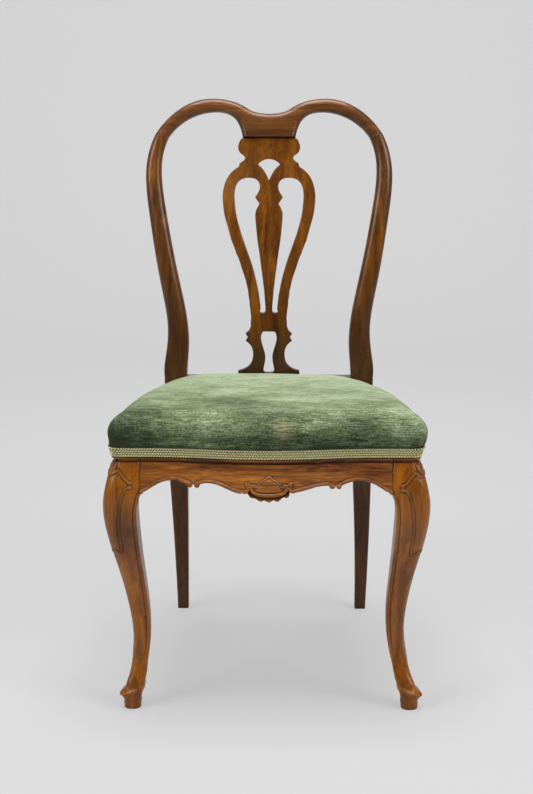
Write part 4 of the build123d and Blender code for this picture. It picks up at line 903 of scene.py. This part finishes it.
SOLE_NEAR = 8.0
PLINTH_STOUT = 0.16
PLINTH_TOP = 30.0
PLINTH_BLEND = 8.0
SOLE_EASED = 0.07  # the plinth draws in again at the floor
SOLE_BLEND = 4.0
LIP_WIDE = 3.5  # the lip's corners stand out
LIP_CORNER = 25.0  # over this width
LIP_EASE = 2.0
JOINT_REACH = 18.0  # the leg's face runs into the rail's over this width
JOINT_FADE = 40.0  # and over this height below the spring
print("front legs:", len(LEAVES), "leaves and", len(VOLUTES), "volutes on each face")


# %% The knee
def knee(u, z, outward, rise):
    """Relief on one outer face of a leg."""
    relief = np.zeros(len(u)), np.zeros(len(u))
    lip_quirk(relief, z)
    up = np.array([0.0, rise])
    for centre, radius in VOLUTES:
        ball(relief, u, z, centre + up, radius, VOLUTE_HEIGHT)
    for drawn, sizes in ((KNEE_SCROLL, SCROLL_BEAD), (KNEE_LINE, LINE_BEAD), (KNEE_HOOK, HOOK_BEAD)):
        bead(relief, u, z, curve(drawn) + up, *sizes)
    for leaf in LEAVES:
        bead(relief, u, z, curve(leaf), *LEAF_BEAD)
    # the bead on the inner edge, from the arch down to the ankle
    edge = np.zeros(len(u)), np.zeros(len(u))
    inside = lower_edge(-z, u, outward > EDGE_SQUARE, -EDGE_TOP, -BEAD_FADE[0], EDGE_STEP)
    trail = np.vstack([JOINT, np.column_stack([inside[:, 1] + BEAD_RISE, -inside[:, 0]])])
    bead(edge, u, z, trail, *EDGE_BEAD)
    fade = np.clip((z - BEAD_FADE[0]) / (BEAD_FADE[1] - BEAD_FADE[0]), 0, 1)
    for whole, part in zip(relief, edge):
        np.maximum(whole, part * fade, out=whole)
    return depth_of(relief) * facing(outward)


print("knee ready")


# %% The foot and the joint
def leg_shape(plan, normals):
    """Draws the foot, a low toe with a rim on a short plinth, and runs the leg's face into the rail's."""
    side = math.copysign(1.0, plan[:, 0].mean())
    x, y, z = plan.T
    u = side * x
    shaped = plan.copy()
    # the plinth
    middle = np.median(plan[z < SOLE_NEAR, :2], axis=0)
    stout = PLINTH_STOUT * np.clip((PLINTH_TOP - z) / PLINTH_BLEND, 0, 1)
    stout -= SOLE_EASED * np.clip(1 - z / SOLE_BLEND, 0, 1) ** 2
    shaped[:, :2] += (plan[:, :2] - middle) * stout[:, None]
    # the rim on the toe's ridge, and the hollow behind it
    for rise, above, half in (TOE_RIM, TOE_HOLLOW):
        shaped += normals * (rise * np.exp(-(((z - RIDGE - above) / half) ** 2)))[:, None]
    low = z < FOOT_HEIGHTS[0][-1]
    shaped[low, 2] += np.interp(z[low], *FOOT_HEIGHTS) - z[low]
    # the rim climbs to the inner sides
    ridge = np.abs(z - RIDGE) < RIDGE_BAND
    inner = np.clip((u[ridge].max() - u) / FOOT_WIDE, 0, 1)
    rear = np.clip((y - y[ridge].min()) / FOOT_WIDE, 0, 1)
    rising = np.interp(z, [FOOT_REACH[0], RIDGE, FOOT_REACH[1]], [0.0, 1.0, 0.0])
    shaped[:, 2] += RIM_LIFT * np.maximum(inner, RIM_REAR * rear) ** 3 * rising
    # the toe is pointed: its sides fall back from the corner
    shaped[:, 0] -= side * TOE_POINT * rear**2 * (1 - inner) * rising
    shaped[:, 1] += TOE_POINT * inner**2 * (1 - rear) * rising
    # the corners of the lip
    corner = np.clip((u - HALF_FRONT) / LIP_CORNER + 1, 0, 1) * np.clip((z - LIP_FOOT) / LIP_EASE, 0, 1)
    shaped[:, 0] += side * LIP_WIDE * corner
    # the joint with the rail
    near = (u < LEG_INNER + JOINT_NEAR) & (normals[:, 1] < LOOKS_FRONT)
    steps = rail_face[side] - face_depths(plan, near)
    step = np.polyval(np.polyfit(JOINT_HEIGHTS, steps, 1), z)
    fade = np.clip(1 - (u - LEG_INNER) / JOINT_REACH, 0, 1) ** 2
    fade *= np.clip((z - SPRING) / JOINT_FADE + 1, 0, 1)
    shaped[:, 1] += step * fade * np.clip(-normals[:, 1] * 2, 0, 1)
    print("leg meets rail with steps of", np.round(steps, 1), "mm before they are blended")
    return shaped


print("foot and joint ready")


# %% Both legs
def leg_relief(plan, normals):
    """The knee on the front and on the flank, which meet at the corner."""
    side = math.copysign(1.0, plan[:, 0].mean())
    u, z = np.abs(plan[:, 0]), plan[:, 2]
    front = knee(u, z, -normals[:, 1], KNEE_RISE[side])
    flank = knee(HALF_FRONT - plan[:, 1], z, side * normals[:, 0], 0.0)
    turned = np.clip(0.5 + CORNER_TURN * (side * normals[:, 0] + normals[:, 1]), 0, 1)
    return front * (1 - turned) + flank * turned


for name in ("front_leg_left", "front_leg_right"):
    carve(name, leg_relief, walnut_leg, leg_shape)

# %% [markdown]
# ## The side rails
# The photograph hardly shows the side rails. Chairs of this kind repeat the bead of the front there, so a
# bead follows the lower edge and a pair of small scrolls sits where the edge dips.

# %% The side rails
SIDE_SCROLLS = (131.0, 149.0)
SIDE_BALL = (4.5, 4.2, BEAD_HEIGHT + 0.8)  # rise above the edge, radius, height
SIDE_END = 2.0


def side_relief(plan, normals):
    """A bead and two scrolls along the lower edge of a side rail."""
    side = math.copysign(1.0, plan[:, 0].mean())
    u, z = plan[:, 1], plan[:, 2]
    outward = side * normals[:, 0]
    relief = np.zeros(len(u)), np.zeros(len(u))
    edge = lower_edge(u, z, outward > SQUARE, u.min() + SIDE_END, u.max() - SIDE_END)
    trail = beside(edge, BEAD_RISE)
    lip_quirk(relief, z)
    bead(relief, u, z, trail, BEAD_HALF, BEAD_HEIGHT)
    for spot in SIDE_SCROLLS:
        rise = np.interp(spot, *edge.T) + SIDE_BALL[0]
        ball(relief, u, z, (spot, rise), *SIDE_BALL[1:])
    return depth_of(relief) * facing(outward)


for name in ("side_seat_rail_left", "side_seat_rail_right"):
    carve(name, side_relief, walnut_side)

# %% [markdown]
# ## Velvet
# Green velvet, rubbed and pressed by use. Its colour is painted dark low on the front and paler up the roll,
# towards the back and a little to the right: painted shade and painted sheen for the way light falls on the
# pile. Broad rubbed patches and fine streaks across the seat break this up, and a sheen lifts the turning
# edges. Printed cloth would not change with the light.

# %% Velvet
NAP_PITCH = 2.0  # height of a nap streak in mm
NAP_LONG = 9.0  # how much longer than high a streak is
RUB = 75.0  # size of a rubbed patch in mm
FUZZ = 3.0  # size of the speckle in mm
BARE_SPOT = (27.0, -14.0, 493.0)  # here the pile is worn down to its tan ground
BARE_FULL = 0.004
BARE_REACH = 0.024
ROLL_HEIGHTS = (0.458, 0.506)  # the front is painted paler between these heights: painted shade low, painted sheen above
NAP_CONTRAST = 0.34
RUB_CONTRAST = 0.44
FUZZ_CONTRAST = 0.26
velvet, tree, shader, spot = new_material("green_silk_velvet")
nap = add(tree, "Mapping", {"Vector": spot, "Scale": (1 / NAP_LONG, 0.35, 1.0)}).outputs["Vector"]
worn = add(tree, "Mapping", {"Vector": spot, "Scale": (0.6, 1.0, 1.0)}).outputs["Vector"]
streaks = cloud(tree, nap, NAP_PITCH, Detail=4.0, Roughness=0.7)
patches = cloud(tree, worn, RUB, Detail=7.0, Roughness=0.62)
fuzz = cloud(tree, spot, FUZZ, Detail=3.0, Roughness=0.7)
where = add(tree, "SeparateXYZ", {"Vector": spot}).outputs
# painted shade and sheen: darker low on the front, paler up the roll, towards the back and to the right
painted_light_and_shade = remap(tree, where["Z"], ROLL_HEIGHTS, (0.12, 0.44))
painted_light_and_shade = combine(tree, "ADD", painted_light_and_shade, remap(tree, where["Y"], (lip_y + 0.02, lip_y + 0.40), (0.0, 0.62)))
painted_light_and_shade = combine(tree, "ADD", painted_light_and_shade, remap(tree, where["X"], (-0.25, 0.25), (-0.08, 0.07)))
tone = remap(tree, patches, (0.3, 0.7), (-RUB_CONTRAST, RUB_CONTRAST))
tone = combine(tree, "MULTIPLY", tone, remap(tree, where["Y"], (lip_y, lip_y + 0.36), (1.0, 0.3)))
for pattern, contrast in ((streaks, NAP_CONTRAST), (fuzz, FUZZ_CONTRAST)):
    tone = combine(tree, "ADD", tone, remap(tree, pattern, (0.3, 0.7), (-contrast, contrast)))
tone = combine(tree, "ADD", painted_light_and_shade, tone, use_clamp=True)
pile = ramp(tree, tone, [(0.0, "#262e1e"), (0.3, "#485339"), (0.6, "#667252"), (1.0, "#93a086")])
bare = add(tree, "VectorMath", {0: spot, 1: place(*BARE_SPOT)}, operation="DISTANCE").outputs["Value"]
bare = remap(tree, bare, (BARE_FULL, BARE_REACH), (0.75, 0.0))
bare = combine(tree, "MULTIPLY", bare, remap(tree, streaks, (0.38, 0.62), (0.1, 0.9)))
pile = blend(tree, bare, pile, linear("#8d8263"))
relief = bumps(tree, combine(tree, "ADD", fuzz, streaks), 0.35, 0.0008)
plug(tree, shader, {"Base Color": pile, "Roughness": 0.85, "Specular IOR Level": 0.15, "Normal": relief})
plug(tree, shader, {"Sheen Weight": 0.3, "Sheen Roughness": 0.38, "Sheen Tint": linear("#c3d2a8")})
print("velvet ready")

# %% [markdown]
# ## The stuffed seat
# The seat is a hair pad under tight velvet: a full roll along the front and the sides, a low crown and a
# slope to the back, where the cover is pulled down to the rear rail between the posts. The shape starts as
# a stack of outlines at rising heights. A cloth simulation then blows it up gently from inside, which gives
# the tension of a stuffed cover, with its foot held where the braid covers the tacks.

# %% The stuffed seat
SEAT_LEVELS = [  # rise above the lip, inset from it, drop towards the back, inset at the back
    (15.5, -4.0, 0.0, 0.0),
    (18.0, -8.0, 1.0, 0.0),
    (25.0, -13.0, 5.0, 0.0),
    (34.0, -15.5, 11.0, 0.0),
    (46.0, -14.5, 18.0, 0.0),
    (56.0, -9.5, 22.0, 2.0),
    (64.0, 1.0, 25.0, 6.0),
    (69.5, 18.0, 25.5, 14.0),
    (72.0, 48.0, 26.5, 44.0),
    (73.0, 105.0, 27.0, 105.0),
]
SEAT_CORNER = 24.0
POST_CLEAR = 3.0
REAR_STEP = 413.0  # the cover turns in round the posts here
DROP_LATE = 1.25  # the seat stays high, and drops late towards the back
REAR_SLIM = 0.7  # how much of the side's bulge is gone at the back
RIGHT_FULL = 0.014  # the right side is stuffed a little wider
SIDE_FULL = 0.018  # the sides are fullest halfway back
REAR_SLACK = 3.5  # the cover lies a little lower beside the right post
REAR_ROUND = 14.0  # the rear corners fall away beside the posts
REAR_FLAT = (128.0, 192.0)  # from the middle, where the fall begins and ends
FALL_FROM = 35.0  # only what lies higher above the lip falls away
FALL_EASE = 1.5
LINE_STEP = 5.0
SEAT_VOXEL = 5.0
HELD_BELOW = 462.0
PRESSURE = 5.0
CLOTH_FRAMES = 20
MOST_BULGE = 7.0
TOP_BULGE = 2.0  # the stuffing holds the crown down
LEVEL_POINTS = 160
COARSE = 11.0  # lumps in a metre
FINE = 27.0
LUMP_HEIGHT = 1.6
LUMPS_ABOVE = 0.495  # height in m


def seat_loop(rise, inset, drop, roll):
    """One closed outline of the seat at a height, notched round the posts."""
    back = COVER_BACK - roll
    step = min(REAR_STEP, back)
    line = seat_line(inset, SEAT_CORNER, step, LINE_STEP)
    notch = POST_INNER - POST_CLEAR - roll / 2
    rear = [(-notch, step), (-notch, back), (notch, back), (notch, step)]
    loop = np.vstack([line, rear, line[:1]])
    run = np.concatenate([[0], np.cumsum(np.hypot(*np.diff(loop, axis=0).T))])
    at = np.linspace(0, run[-1], LEVEL_POINTS, endpoint=False)
    x, y = np.interp(at, run, loop[:, 0]), np.interp(at, run, loop[:, 1])
    back_share = np.clip(y / SEAT_DEPTH, 0, 1)
    x = x * (1 + REAR_SLIM * min(inset, 0) / HALF_REAR * back_share**2)
    above = np.clip(rise / BRAID_HEIGHT - 1, 0, 1)
    x = np.where(x > 0, x * (1 + RIGHT_FULL * above * (1 - back_share)), x)
    x = x * (1 + SIDE_FULL * 4 * back_share * (1 - back_share) * above)
    slack = REAR_SLACK * np.clip(x / POST_INNER, 0, 1) * back_share**3 * min(rise / BRAID_HEIGHT - 1, 1)
    fall = REAR_ROUND * np.interp(np.abs(x), REAR_FLAT, (0, 1)) ** FALL_EASE
    slack += fall * np.clip(rise / FALL_FROM - 1, 0, 1) * back_share**2
    return [place(*spot) for spot in zip(x, y, LIP_TOP + rise - drop * back_share**DROP_LATE - slack)]


stuffing = bmesh.new()
rings = [[stuffing.verts.new(spot) for spot in seat_loop(*level)] for level in SEAT_LEVELS]
for lower, upper in zip(rings[:-1], rings[1:]):
    for k in range(LEVEL_POINTS):
        n = (k + 1) % LEVEL_POINTS
        stuffing.faces.new((lower[k], lower[n], upper[n], upper[k]))
stuffing.faces.new(rings[0][::-1])
stuffing.faces.new(rings[-1])
bmesh.ops.recalc_face_normals(stuffing, faces=stuffing.faces)
seat_mesh = bpy.data.meshes.new("velvet_seat")
stuffing.to_mesh(seat_mesh)
stuffing.free()
seat = add_piece("velvet_seat", seat_mesh)
rest = vectors(remeshed(seat, SEAT_VOXEL).vertices)
print("seat:", len(SEAT_LEVELS), "outlines")

# %% Pressure from inside
held = seat.vertex_groups.new(name="tacked")
held.add(np.flatnonzero(rest[:, 2] < HELD_BELOW * MM).tolist(), 1.0, "REPLACE")
cloth = seat.modifiers.new("pressure", "CLOTH")
cloth.settings.use_pressure = True
cloth.settings.uniform_pressure_force = PRESSURE
cloth.settings.vertex_group_mass = "tacked"
cloth.settings.effector_weights.gravity = 0.0
cloth.point_cache.frame_end = CLOTH_FRAMES
for step in range(1, CLOTH_FRAMES + 1):
    bpy.context.scene.frame_set(step)
blown = seat.evaluated_get(bpy.context.evaluated_depsgraph_get()).to_mesh()
moved = vectors(blown.vertices) - rest
length = np.linalg.norm(moved, axis=1, keepdims=True)
moved *= np.minimum(1.0, MOST_BULGE * MM / np.maximum(length, 1e-9))
moved[:, 2] = np.minimum(moved[:, 2], TOP_BULGE * MM)
seat.modifiers.clear()
bpy.context.scene.frame_set(1)
rest = rest + moved
print("cloth moved", round(float(length.max() / MM), 1), "mm at most, kept", MOST_BULGE)
# hand stuffing is never quite even
uneven = np.array([noise.noise(Vector(p) * COARSE) + 0.5 * noise.noise(Vector(p) * FINE) for p in rest])
rest[:, 2] += np.where(rest[:, 2] > LUMPS_ABOVE, uneven * LUMP_HEIGHT * MM, 0)
seat.data.vertices.foreach_set("co", rest.ravel())
seat.data.polygons.foreach_set("use_smooth", [True] * len(seat.data.polygons))
seat.data.update()
relax = seat.modifiers.new("relax", "SMOOTH")
relax.iterations = 3
fine = seat.modifiers.new("fine", "SUBSURF")
fine.levels = 1
fine.render_levels = 1
seat.data.materials.clear()
seat.data.materials.append(velvet)
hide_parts("velvet_cover", "linen_undercover", "stuffing_pad")
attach(seat, "root")
print("seat:", len(seat.data.vertices), "points, top", round(float(rest[:, 2].max()), 4))

# %% [markdown]
# ## The braid
# A gimp braid hides the tacks: a flat tape woven from thick yellow-green threads in a herringbone. A bump
# pattern would look flat this close, so every stitch is a short thread of its own, laid in slanting rows
# on a thin tape that leans out with the padding. The tape is dark: painted shade between the stitches.

# %% The braid
BRAID_SPREAD = 5.0  # the padding pushes the braid's top out
STITCH_PITCH = 4.2
STITCH_ROWS = 4
STITCH_SLANT = math.radians(42)
BRAID_WIDE = 3.5  # the braid stands out with the lip at the corners
STITCH_LONG = 2.5  # half length
STITCH_THICK = 1.25  # half thickness
THREAD_SHADE = 4.0  # size of a paler place in mm
BRAID_FOOT = BRAID_INSET - 0.8
BRAID_CORNER = 14.0
BRAID_BACK = SEAT_DEPTH - 4.0
silk, tree, shader, spot = new_material("yellow_green_gimp_thread")
shade = cloud(tree, spot, THREAD_SHADE, Detail=2.0)
thread = ramp(tree, shade, [(0.3, "#d6cf8c"), (0.5, "#ebe4a6"), (0.72, "#f7f2c2")])
plug(tree, shader, {"Base Color": thread, "Roughness": 0.55, "Sheen Weight": 0.3})
print("thread ready")

# %% Stitches
foot_line = seat_line(BRAID_FOOT, BRAID_CORNER, BRAID_BACK, STITCH_PITCH)
along = np.gradient(foot_line, axis=0)
along /= np.linalg.norm(along, axis=1, keepdims=True)
outward = np.column_stack([-along[:, 1], along[:, 0]])
foot_line[:, 0] *= 1 + BRAID_WIDE / HALF_FRONT
shape = bmesh.new()
bmesh.ops.create_uvsphere(shape, u_segments=6, v_segments=4, radius=1.0)
stitch = np.array([v.co for v in shape.verts])
stitch_faces = np.array([[v.index for v in f.verts] + [-1] * (4 - len(f.verts)) for f in shape.faces])
shape.free()
points, faces = [], []
row_gap = BRAID_HEIGHT / STITCH_ROWS
for row in range(STITCH_ROWS):
    rise = row_gap * (row + 0.5)
    slant = STITCH_SLANT if row % 2 else -STITCH_SLANT
    lean = BRAID_SPREAD * rise / BRAID_HEIGHT
    for k in range(len(foot_line)):
        spot_here = foot_line[k] + outward[k] * lean + along[k] * (row % 2) * STITCH_PITCH / 2
        up = np.array([*(outward[k] * BRAID_SPREAD / BRAID_HEIGHT), 1.0])
        up /= np.linalg.norm(up)
        ahead = np.array([*along[k], 0.0])
        axis = ahead * math.sin(slant) + up * math.cos(slant)
        out = np.array([*outward[k], -BRAID_SPREAD / BRAID_HEIGHT])
        out /= np.linalg.norm(out)
        across = np.cross(axis, out)
        turn = np.array([axis * STITCH_LONG, across * STITCH_THICK, out * STITCH_THICK])
        centre = np.array([*spot_here, LIP_TOP + rise])
        base = len(points) * len(stitch)
        points.append(stitch @ turn + centre)
        faces.append(np.where(stitch_faces >= 0, stitch_faces + base, -1))
stitch_points = np.vstack(points)
stitch_list = [[i for i in face if i >= 0] for face in np.vstack(faces).tolist()]
print("braid:", len(points), "stitches")

# %% Tape
base = len(stitch_points)
tape = []
for rise in (0.0, BRAID_HEIGHT):
    ring = foot_line + outward * (BRAID_SPREAD * rise / BRAID_HEIGHT)
    tape.append(np.column_stack([ring, np.full(len(ring), LIP_TOP + rise)]))
count = len(foot_line)
tape_list = [[base + k, base + k + 1, base + count + k + 1, base + count + k] for k in range(count - 1)]
every_point = np.vstack([stitch_points, *tape]) * MM + [0, lip_y, 0]
braid_mesh = bpy.data.meshes.new("gimp_braid")
braid_mesh.from_pydata(every_point.tolist(), [], stitch_list + tape_list)
braid_mesh.polygons.foreach_set("use_smooth", [True] * len(braid_mesh.polygons))
# the tape is dark: painted shade between the stitches
shaded_backing, tree, shader, _ = new_material("gimp_backing_painted_shade")
plug(tree, shader, {"Base Color": linear("#3f4420"), "Roughness": 0.9})
braid_mesh.materials.append(silk)
braid_mesh.materials.append(shaded_backing)
braid_mesh.polygons.foreach_set("material_index", [0] * len(stitch_list) + [1] * len(tape_list))
braid = add_piece("gimp_braid", braid_mesh)
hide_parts("braid_trim")
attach(braid, "root")
print("tape:", len(tape_list), "faces")

# %% [markdown]
# ## Under the seat
# From below, woven jute straps cross under a sheet of hessian. The straps are thin strips that pass over
# and under each other. Their weave and the coloured threads near their edges come from the strip's own
# width and length, so they follow every bend.

# %% Under the seat
WEB_WIDTH = 50.0
WEB_HALF_THICK = 0.5
WEB_SWING = 0.65  # how far a strap rises or dips at a crossing
WEB_MIDDLE = RAIL_TOP + 1.25
LONG_STRAPS = (-92.0, 0.0, 92.0)  # from the middle
CROSS_STRAPS = (-100.0, 0.0, 100.0)
STRAP_STEPS = 80
STRAP_LINES = 7
STRAP_LONG = 420.0  # the weave is laid out for this length
STRIPE_OUT = 17.0  # from the middle of a strap to its coloured threads
STRIPE_HALF = 2.2
WEAVE = 1.6  # thread pitch in mm


def woven(name, base_code, dark_code, stripe_code):
    """Plain weave along a strip's own width and length, and a band near each edge if it has a colour."""
    material, tree, shader, _ = new_material(name)
    uv = add(tree, "TexCoord").outputs["UV"]
    split = add(tree, "SeparateXYZ", {"Vector": uv})
    waves = []
    for axis in ("X", "Y"):
        turns = combine(tree, "MULTIPLY", split.outputs[axis], math.pi / WEAVE)
        waves.append(add(tree, "Math", {0: turns}, operation="SINE").outputs[0])
    weave = combine(tree, "MULTIPLY", *waves)
    lumps = add(tree, "TexNoise", {"Vector": uv, "Scale": 0.6, "Detail": 2.0}).outputs["Fac"]
    tone = remap(tree, weave, (-1.0, 1.0))
    tone = add(tree, "Mix", {0: 0.45, 2: tone, 3: lumps}, data_type="FLOAT").outputs[0]
    colour = ramp(tree, tone, [(0.2, dark_code), (0.8, base_code)])
    if stripe_code:
        off = combine(tree, "SUBTRACT", split.outputs["X"], WEB_WIDTH / 2)
        off = add(tree, "Math", {0: off}, operation="ABSOLUTE").outputs[0]
        band = add(tree, "Math", {0: off, 1: STRIPE_OUT, 2: STRIPE_HALF}, operation="COMPARE").outputs[0]
        colour = blend(tree, band, colour, linear(stripe_code))
    relief = bumps(tree, weave, 0.6, 0.0005)
    plug(tree, shader, {"Base Color": colour, "Roughness": 0.9, "Normal": relief})
    return material


jute = woven("jute_webbing", "#b99d6c", "#7c6238", "#5a3a22")
sacking = woven("jute_hessian", "#b3986b", "#6f5733", None)
print("jute and hessian ready")


# %% Straps
def strip(points_of, steps=STRAP_STEPS):
    """One strap as a thin strip, from a function of the share of its run, the place across and the rise."""
    verts, quads, marks = [], [], []
    across = np.linspace(0, WEB_WIDTH, STRAP_LINES)
    for k in range(steps + 1):
        for side in (-1, 1):
            for a in across:
                verts.append(points_of(k / steps, a - WEB_WIDTH / 2, side * WEB_HALF_THICK))
                marks.append((a, k / steps * STRAP_LONG))
    wide = len(across)
    for k in range(steps):
        for side in (0, 1):
            for a in range(wide - 1):
                i = (2 * k + side) * wide + a
                j = i + 2 * wide
                quads.append((i, i + 1, j + 1, j) if side else (i, j, j + 1, i + 1))
        i, j = 2 * k * wide, 2 * (k + 1) * wide
        quads.append((i, i + wide, j + wide, j))
        quads.append((i + wide - 1, j + wide - 1, j + 2 * wide - 1, i + 2 * wide - 1))
    return verts, quads, marks


def add_straps(name, strips):
    """Joins strips into one piece with their own width and length as UVs."""
    verts, quads, marks = [], [], []
    for strip_verts, strip_quads, strip_marks in strips:
        quads += [tuple(i + len(verts) for i in quad) for quad in strip_quads]
        verts += strip_verts
        marks += strip_marks
    mesh = bpy.data.meshes.new(name)
    mesh.from_pydata(verts, [], quads)
    layer = mesh.uv_layers.new(name="cloth")
    for loop in mesh.loops:
        layer.data[loop.index].uv = marks[loop.vertex_index]
    mesh.polygons.foreach_set("use_smooth", [False] * len(mesh.polygons))
    mesh.materials.append(jute)
    piece = add_piece(name, mesh)
    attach(piece, "root")
    return piece


long_box = [corner / MM - Vector((0, lip_y / MM, 0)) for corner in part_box("webbing_lengthwise")]
cross_box = [corner / MM - Vector((0, lip_y / MM, 0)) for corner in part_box("webbing_crosswise")]
cross_middle = (cross_box[0].y + cross_box[1].y) / 2
cross_places = [cross_middle + step for step in CROSS_STRAPS]


def swing(at, places, first):
    """Rises and dips in turn at each crossing."""
    total = 0.0
    for k, middle in enumerate(places):
        near = max(0.0, 1 - abs(at - middle) / WEB_WIDTH)
        total += (1 if (k + first) % 2 else -1) * near * near * (3 - 2 * near)
    return total * WEB_SWING


def long_point(k):
    """Places on a strap that runs front to back."""
    front = long_box[0].y + bow_at(WEB_WIDTH / 2) - bow_at(abs(LONG_STRAPS[k]) + WEB_WIDTH / 2)
    back = long_box[1].y

    def point(share, across, up):
        y = front + (back - front) * share
        return place(LONG_STRAPS[k] + across, y, WEB_MIDDLE + swing(y, cross_places, k) + up)

    return point


def cross_point(k):
    """Places on a strap that runs across."""
    reach = cross_box[1].x - SPLAY * (cross_places[k] - cross_places[0])

    def point(share, across, up):
        x = reach * (2 * share - 1)
        return place(x, cross_places[k] + across, WEB_MIDDLE - swing(x, LONG_STRAPS, k) + up)

    return point


lengthwise = add_straps("jute_straps_lengthwise", [strip(long_point(k)) for k in range(len(LONG_STRAPS))])
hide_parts("webbing_lengthwise")
crosswise = add_straps("jute_straps_crosswise", [strip(cross_point(k)) for k in range(len(cross_places))])
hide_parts("webbing_crosswise")
print("straps:", len(LONG_STRAPS), "lengthwise and", len(cross_places), "across")

# %% Hessian
HESSIAN_INSET = 8.0
HESSIAN_CORNER = 12.0
HESSIAN_SPACING = 8.0
HESSIAN_SIDE = REAR_STEP - 3.0  # the sides end here, before the posts
HESSIAN_BACK = COVER_BACK - 6.0
HESSIAN_TONGUE = 145.0  # half width between the posts
HESSIAN_RISE = 0.4
UV_SHIFT = 300.0
hessian_low, hessian_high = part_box("hessian_base")
outline = seat_line(HESSIAN_INSET, HESSIAN_CORNER, HESSIAN_SIDE, HESSIAN_SPACING)
tongue = [(-1, HESSIAN_SIDE), (-1, HESSIAN_BACK), (1, HESSIAN_BACK), (1, HESSIAN_SIDE)]
cut = [*outline.tolist(), *((side * HESSIAN_TONGUE, y) for side, y in tongue)]
cloth_mesh = bmesh.new()
corners = [cloth_mesh.verts.new(place(x, y, hessian_low.z / MM + HESSIAN_RISE)) for x, y in cut]
cloth_mesh.faces.new(corners)
hessian_mesh = bpy.data.meshes.new("hessian_sheet")
layer = cloth_mesh.loops.layers.uv.new("cloth")
for face in cloth_mesh.faces:
    for loop in face.loops:
        loop[layer].uv = (loop.vert.co.x / MM + UV_SHIFT, loop.vert.co.y / MM + UV_SHIFT)
hessian_area = sum(face.calc_area() for face in cloth_mesh.faces)
cloth_mesh.to_mesh(hessian_mesh)
cloth_mesh.free()
hessian_mesh.materials.append(sacking)
hessian = add_piece("hessian_sheet", hessian_mesh)
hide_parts("hessian_base")
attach(hessian, "root")
print("hessian:", round(hessian_area, 3), "m2")

# %% [markdown]
# ## Blocks, pegs, screws and tacks
# Beech blocks brace the corners, pegs lock the tenons in the rear posts, and blued steel screws and tacks
# hold the rest. They keep their CAD shapes. Beech is built like the walnut, in paler tones.

# %% Blocks, pegs, screws and tacks
PEG_EDGE = 0.3
beech = walnut("beech_blocks", "X", "#8a6238", "#b08a57", "#c4a06c", crevice_wax_and_shade=0.5, gloss=0.55)
oiled_peg = walnut("walnut_pegs", "X", "#3a220f", "#54351a", "#6b4522")
steel, tree, shader, _ = new_material("blued_steel")
plug(tree, shader, {"Base Color": linear("#4a4c50"), "Metallic": 1.0, "Roughness": 0.42})
for corner in ("front_left", "front_right", "rear_left", "rear_right"):
    ease("corner_block_" + corner, EASED_EDGE, beech)
ease("tenon_pegs", PEG_EDGE, oiled_peg)
for name in ("corner_block_screws", "webbing_tacks"):
    nodes[name].data.materials.clear()
    nodes[name].data.materials.append(steel)
print("small parts dressed")
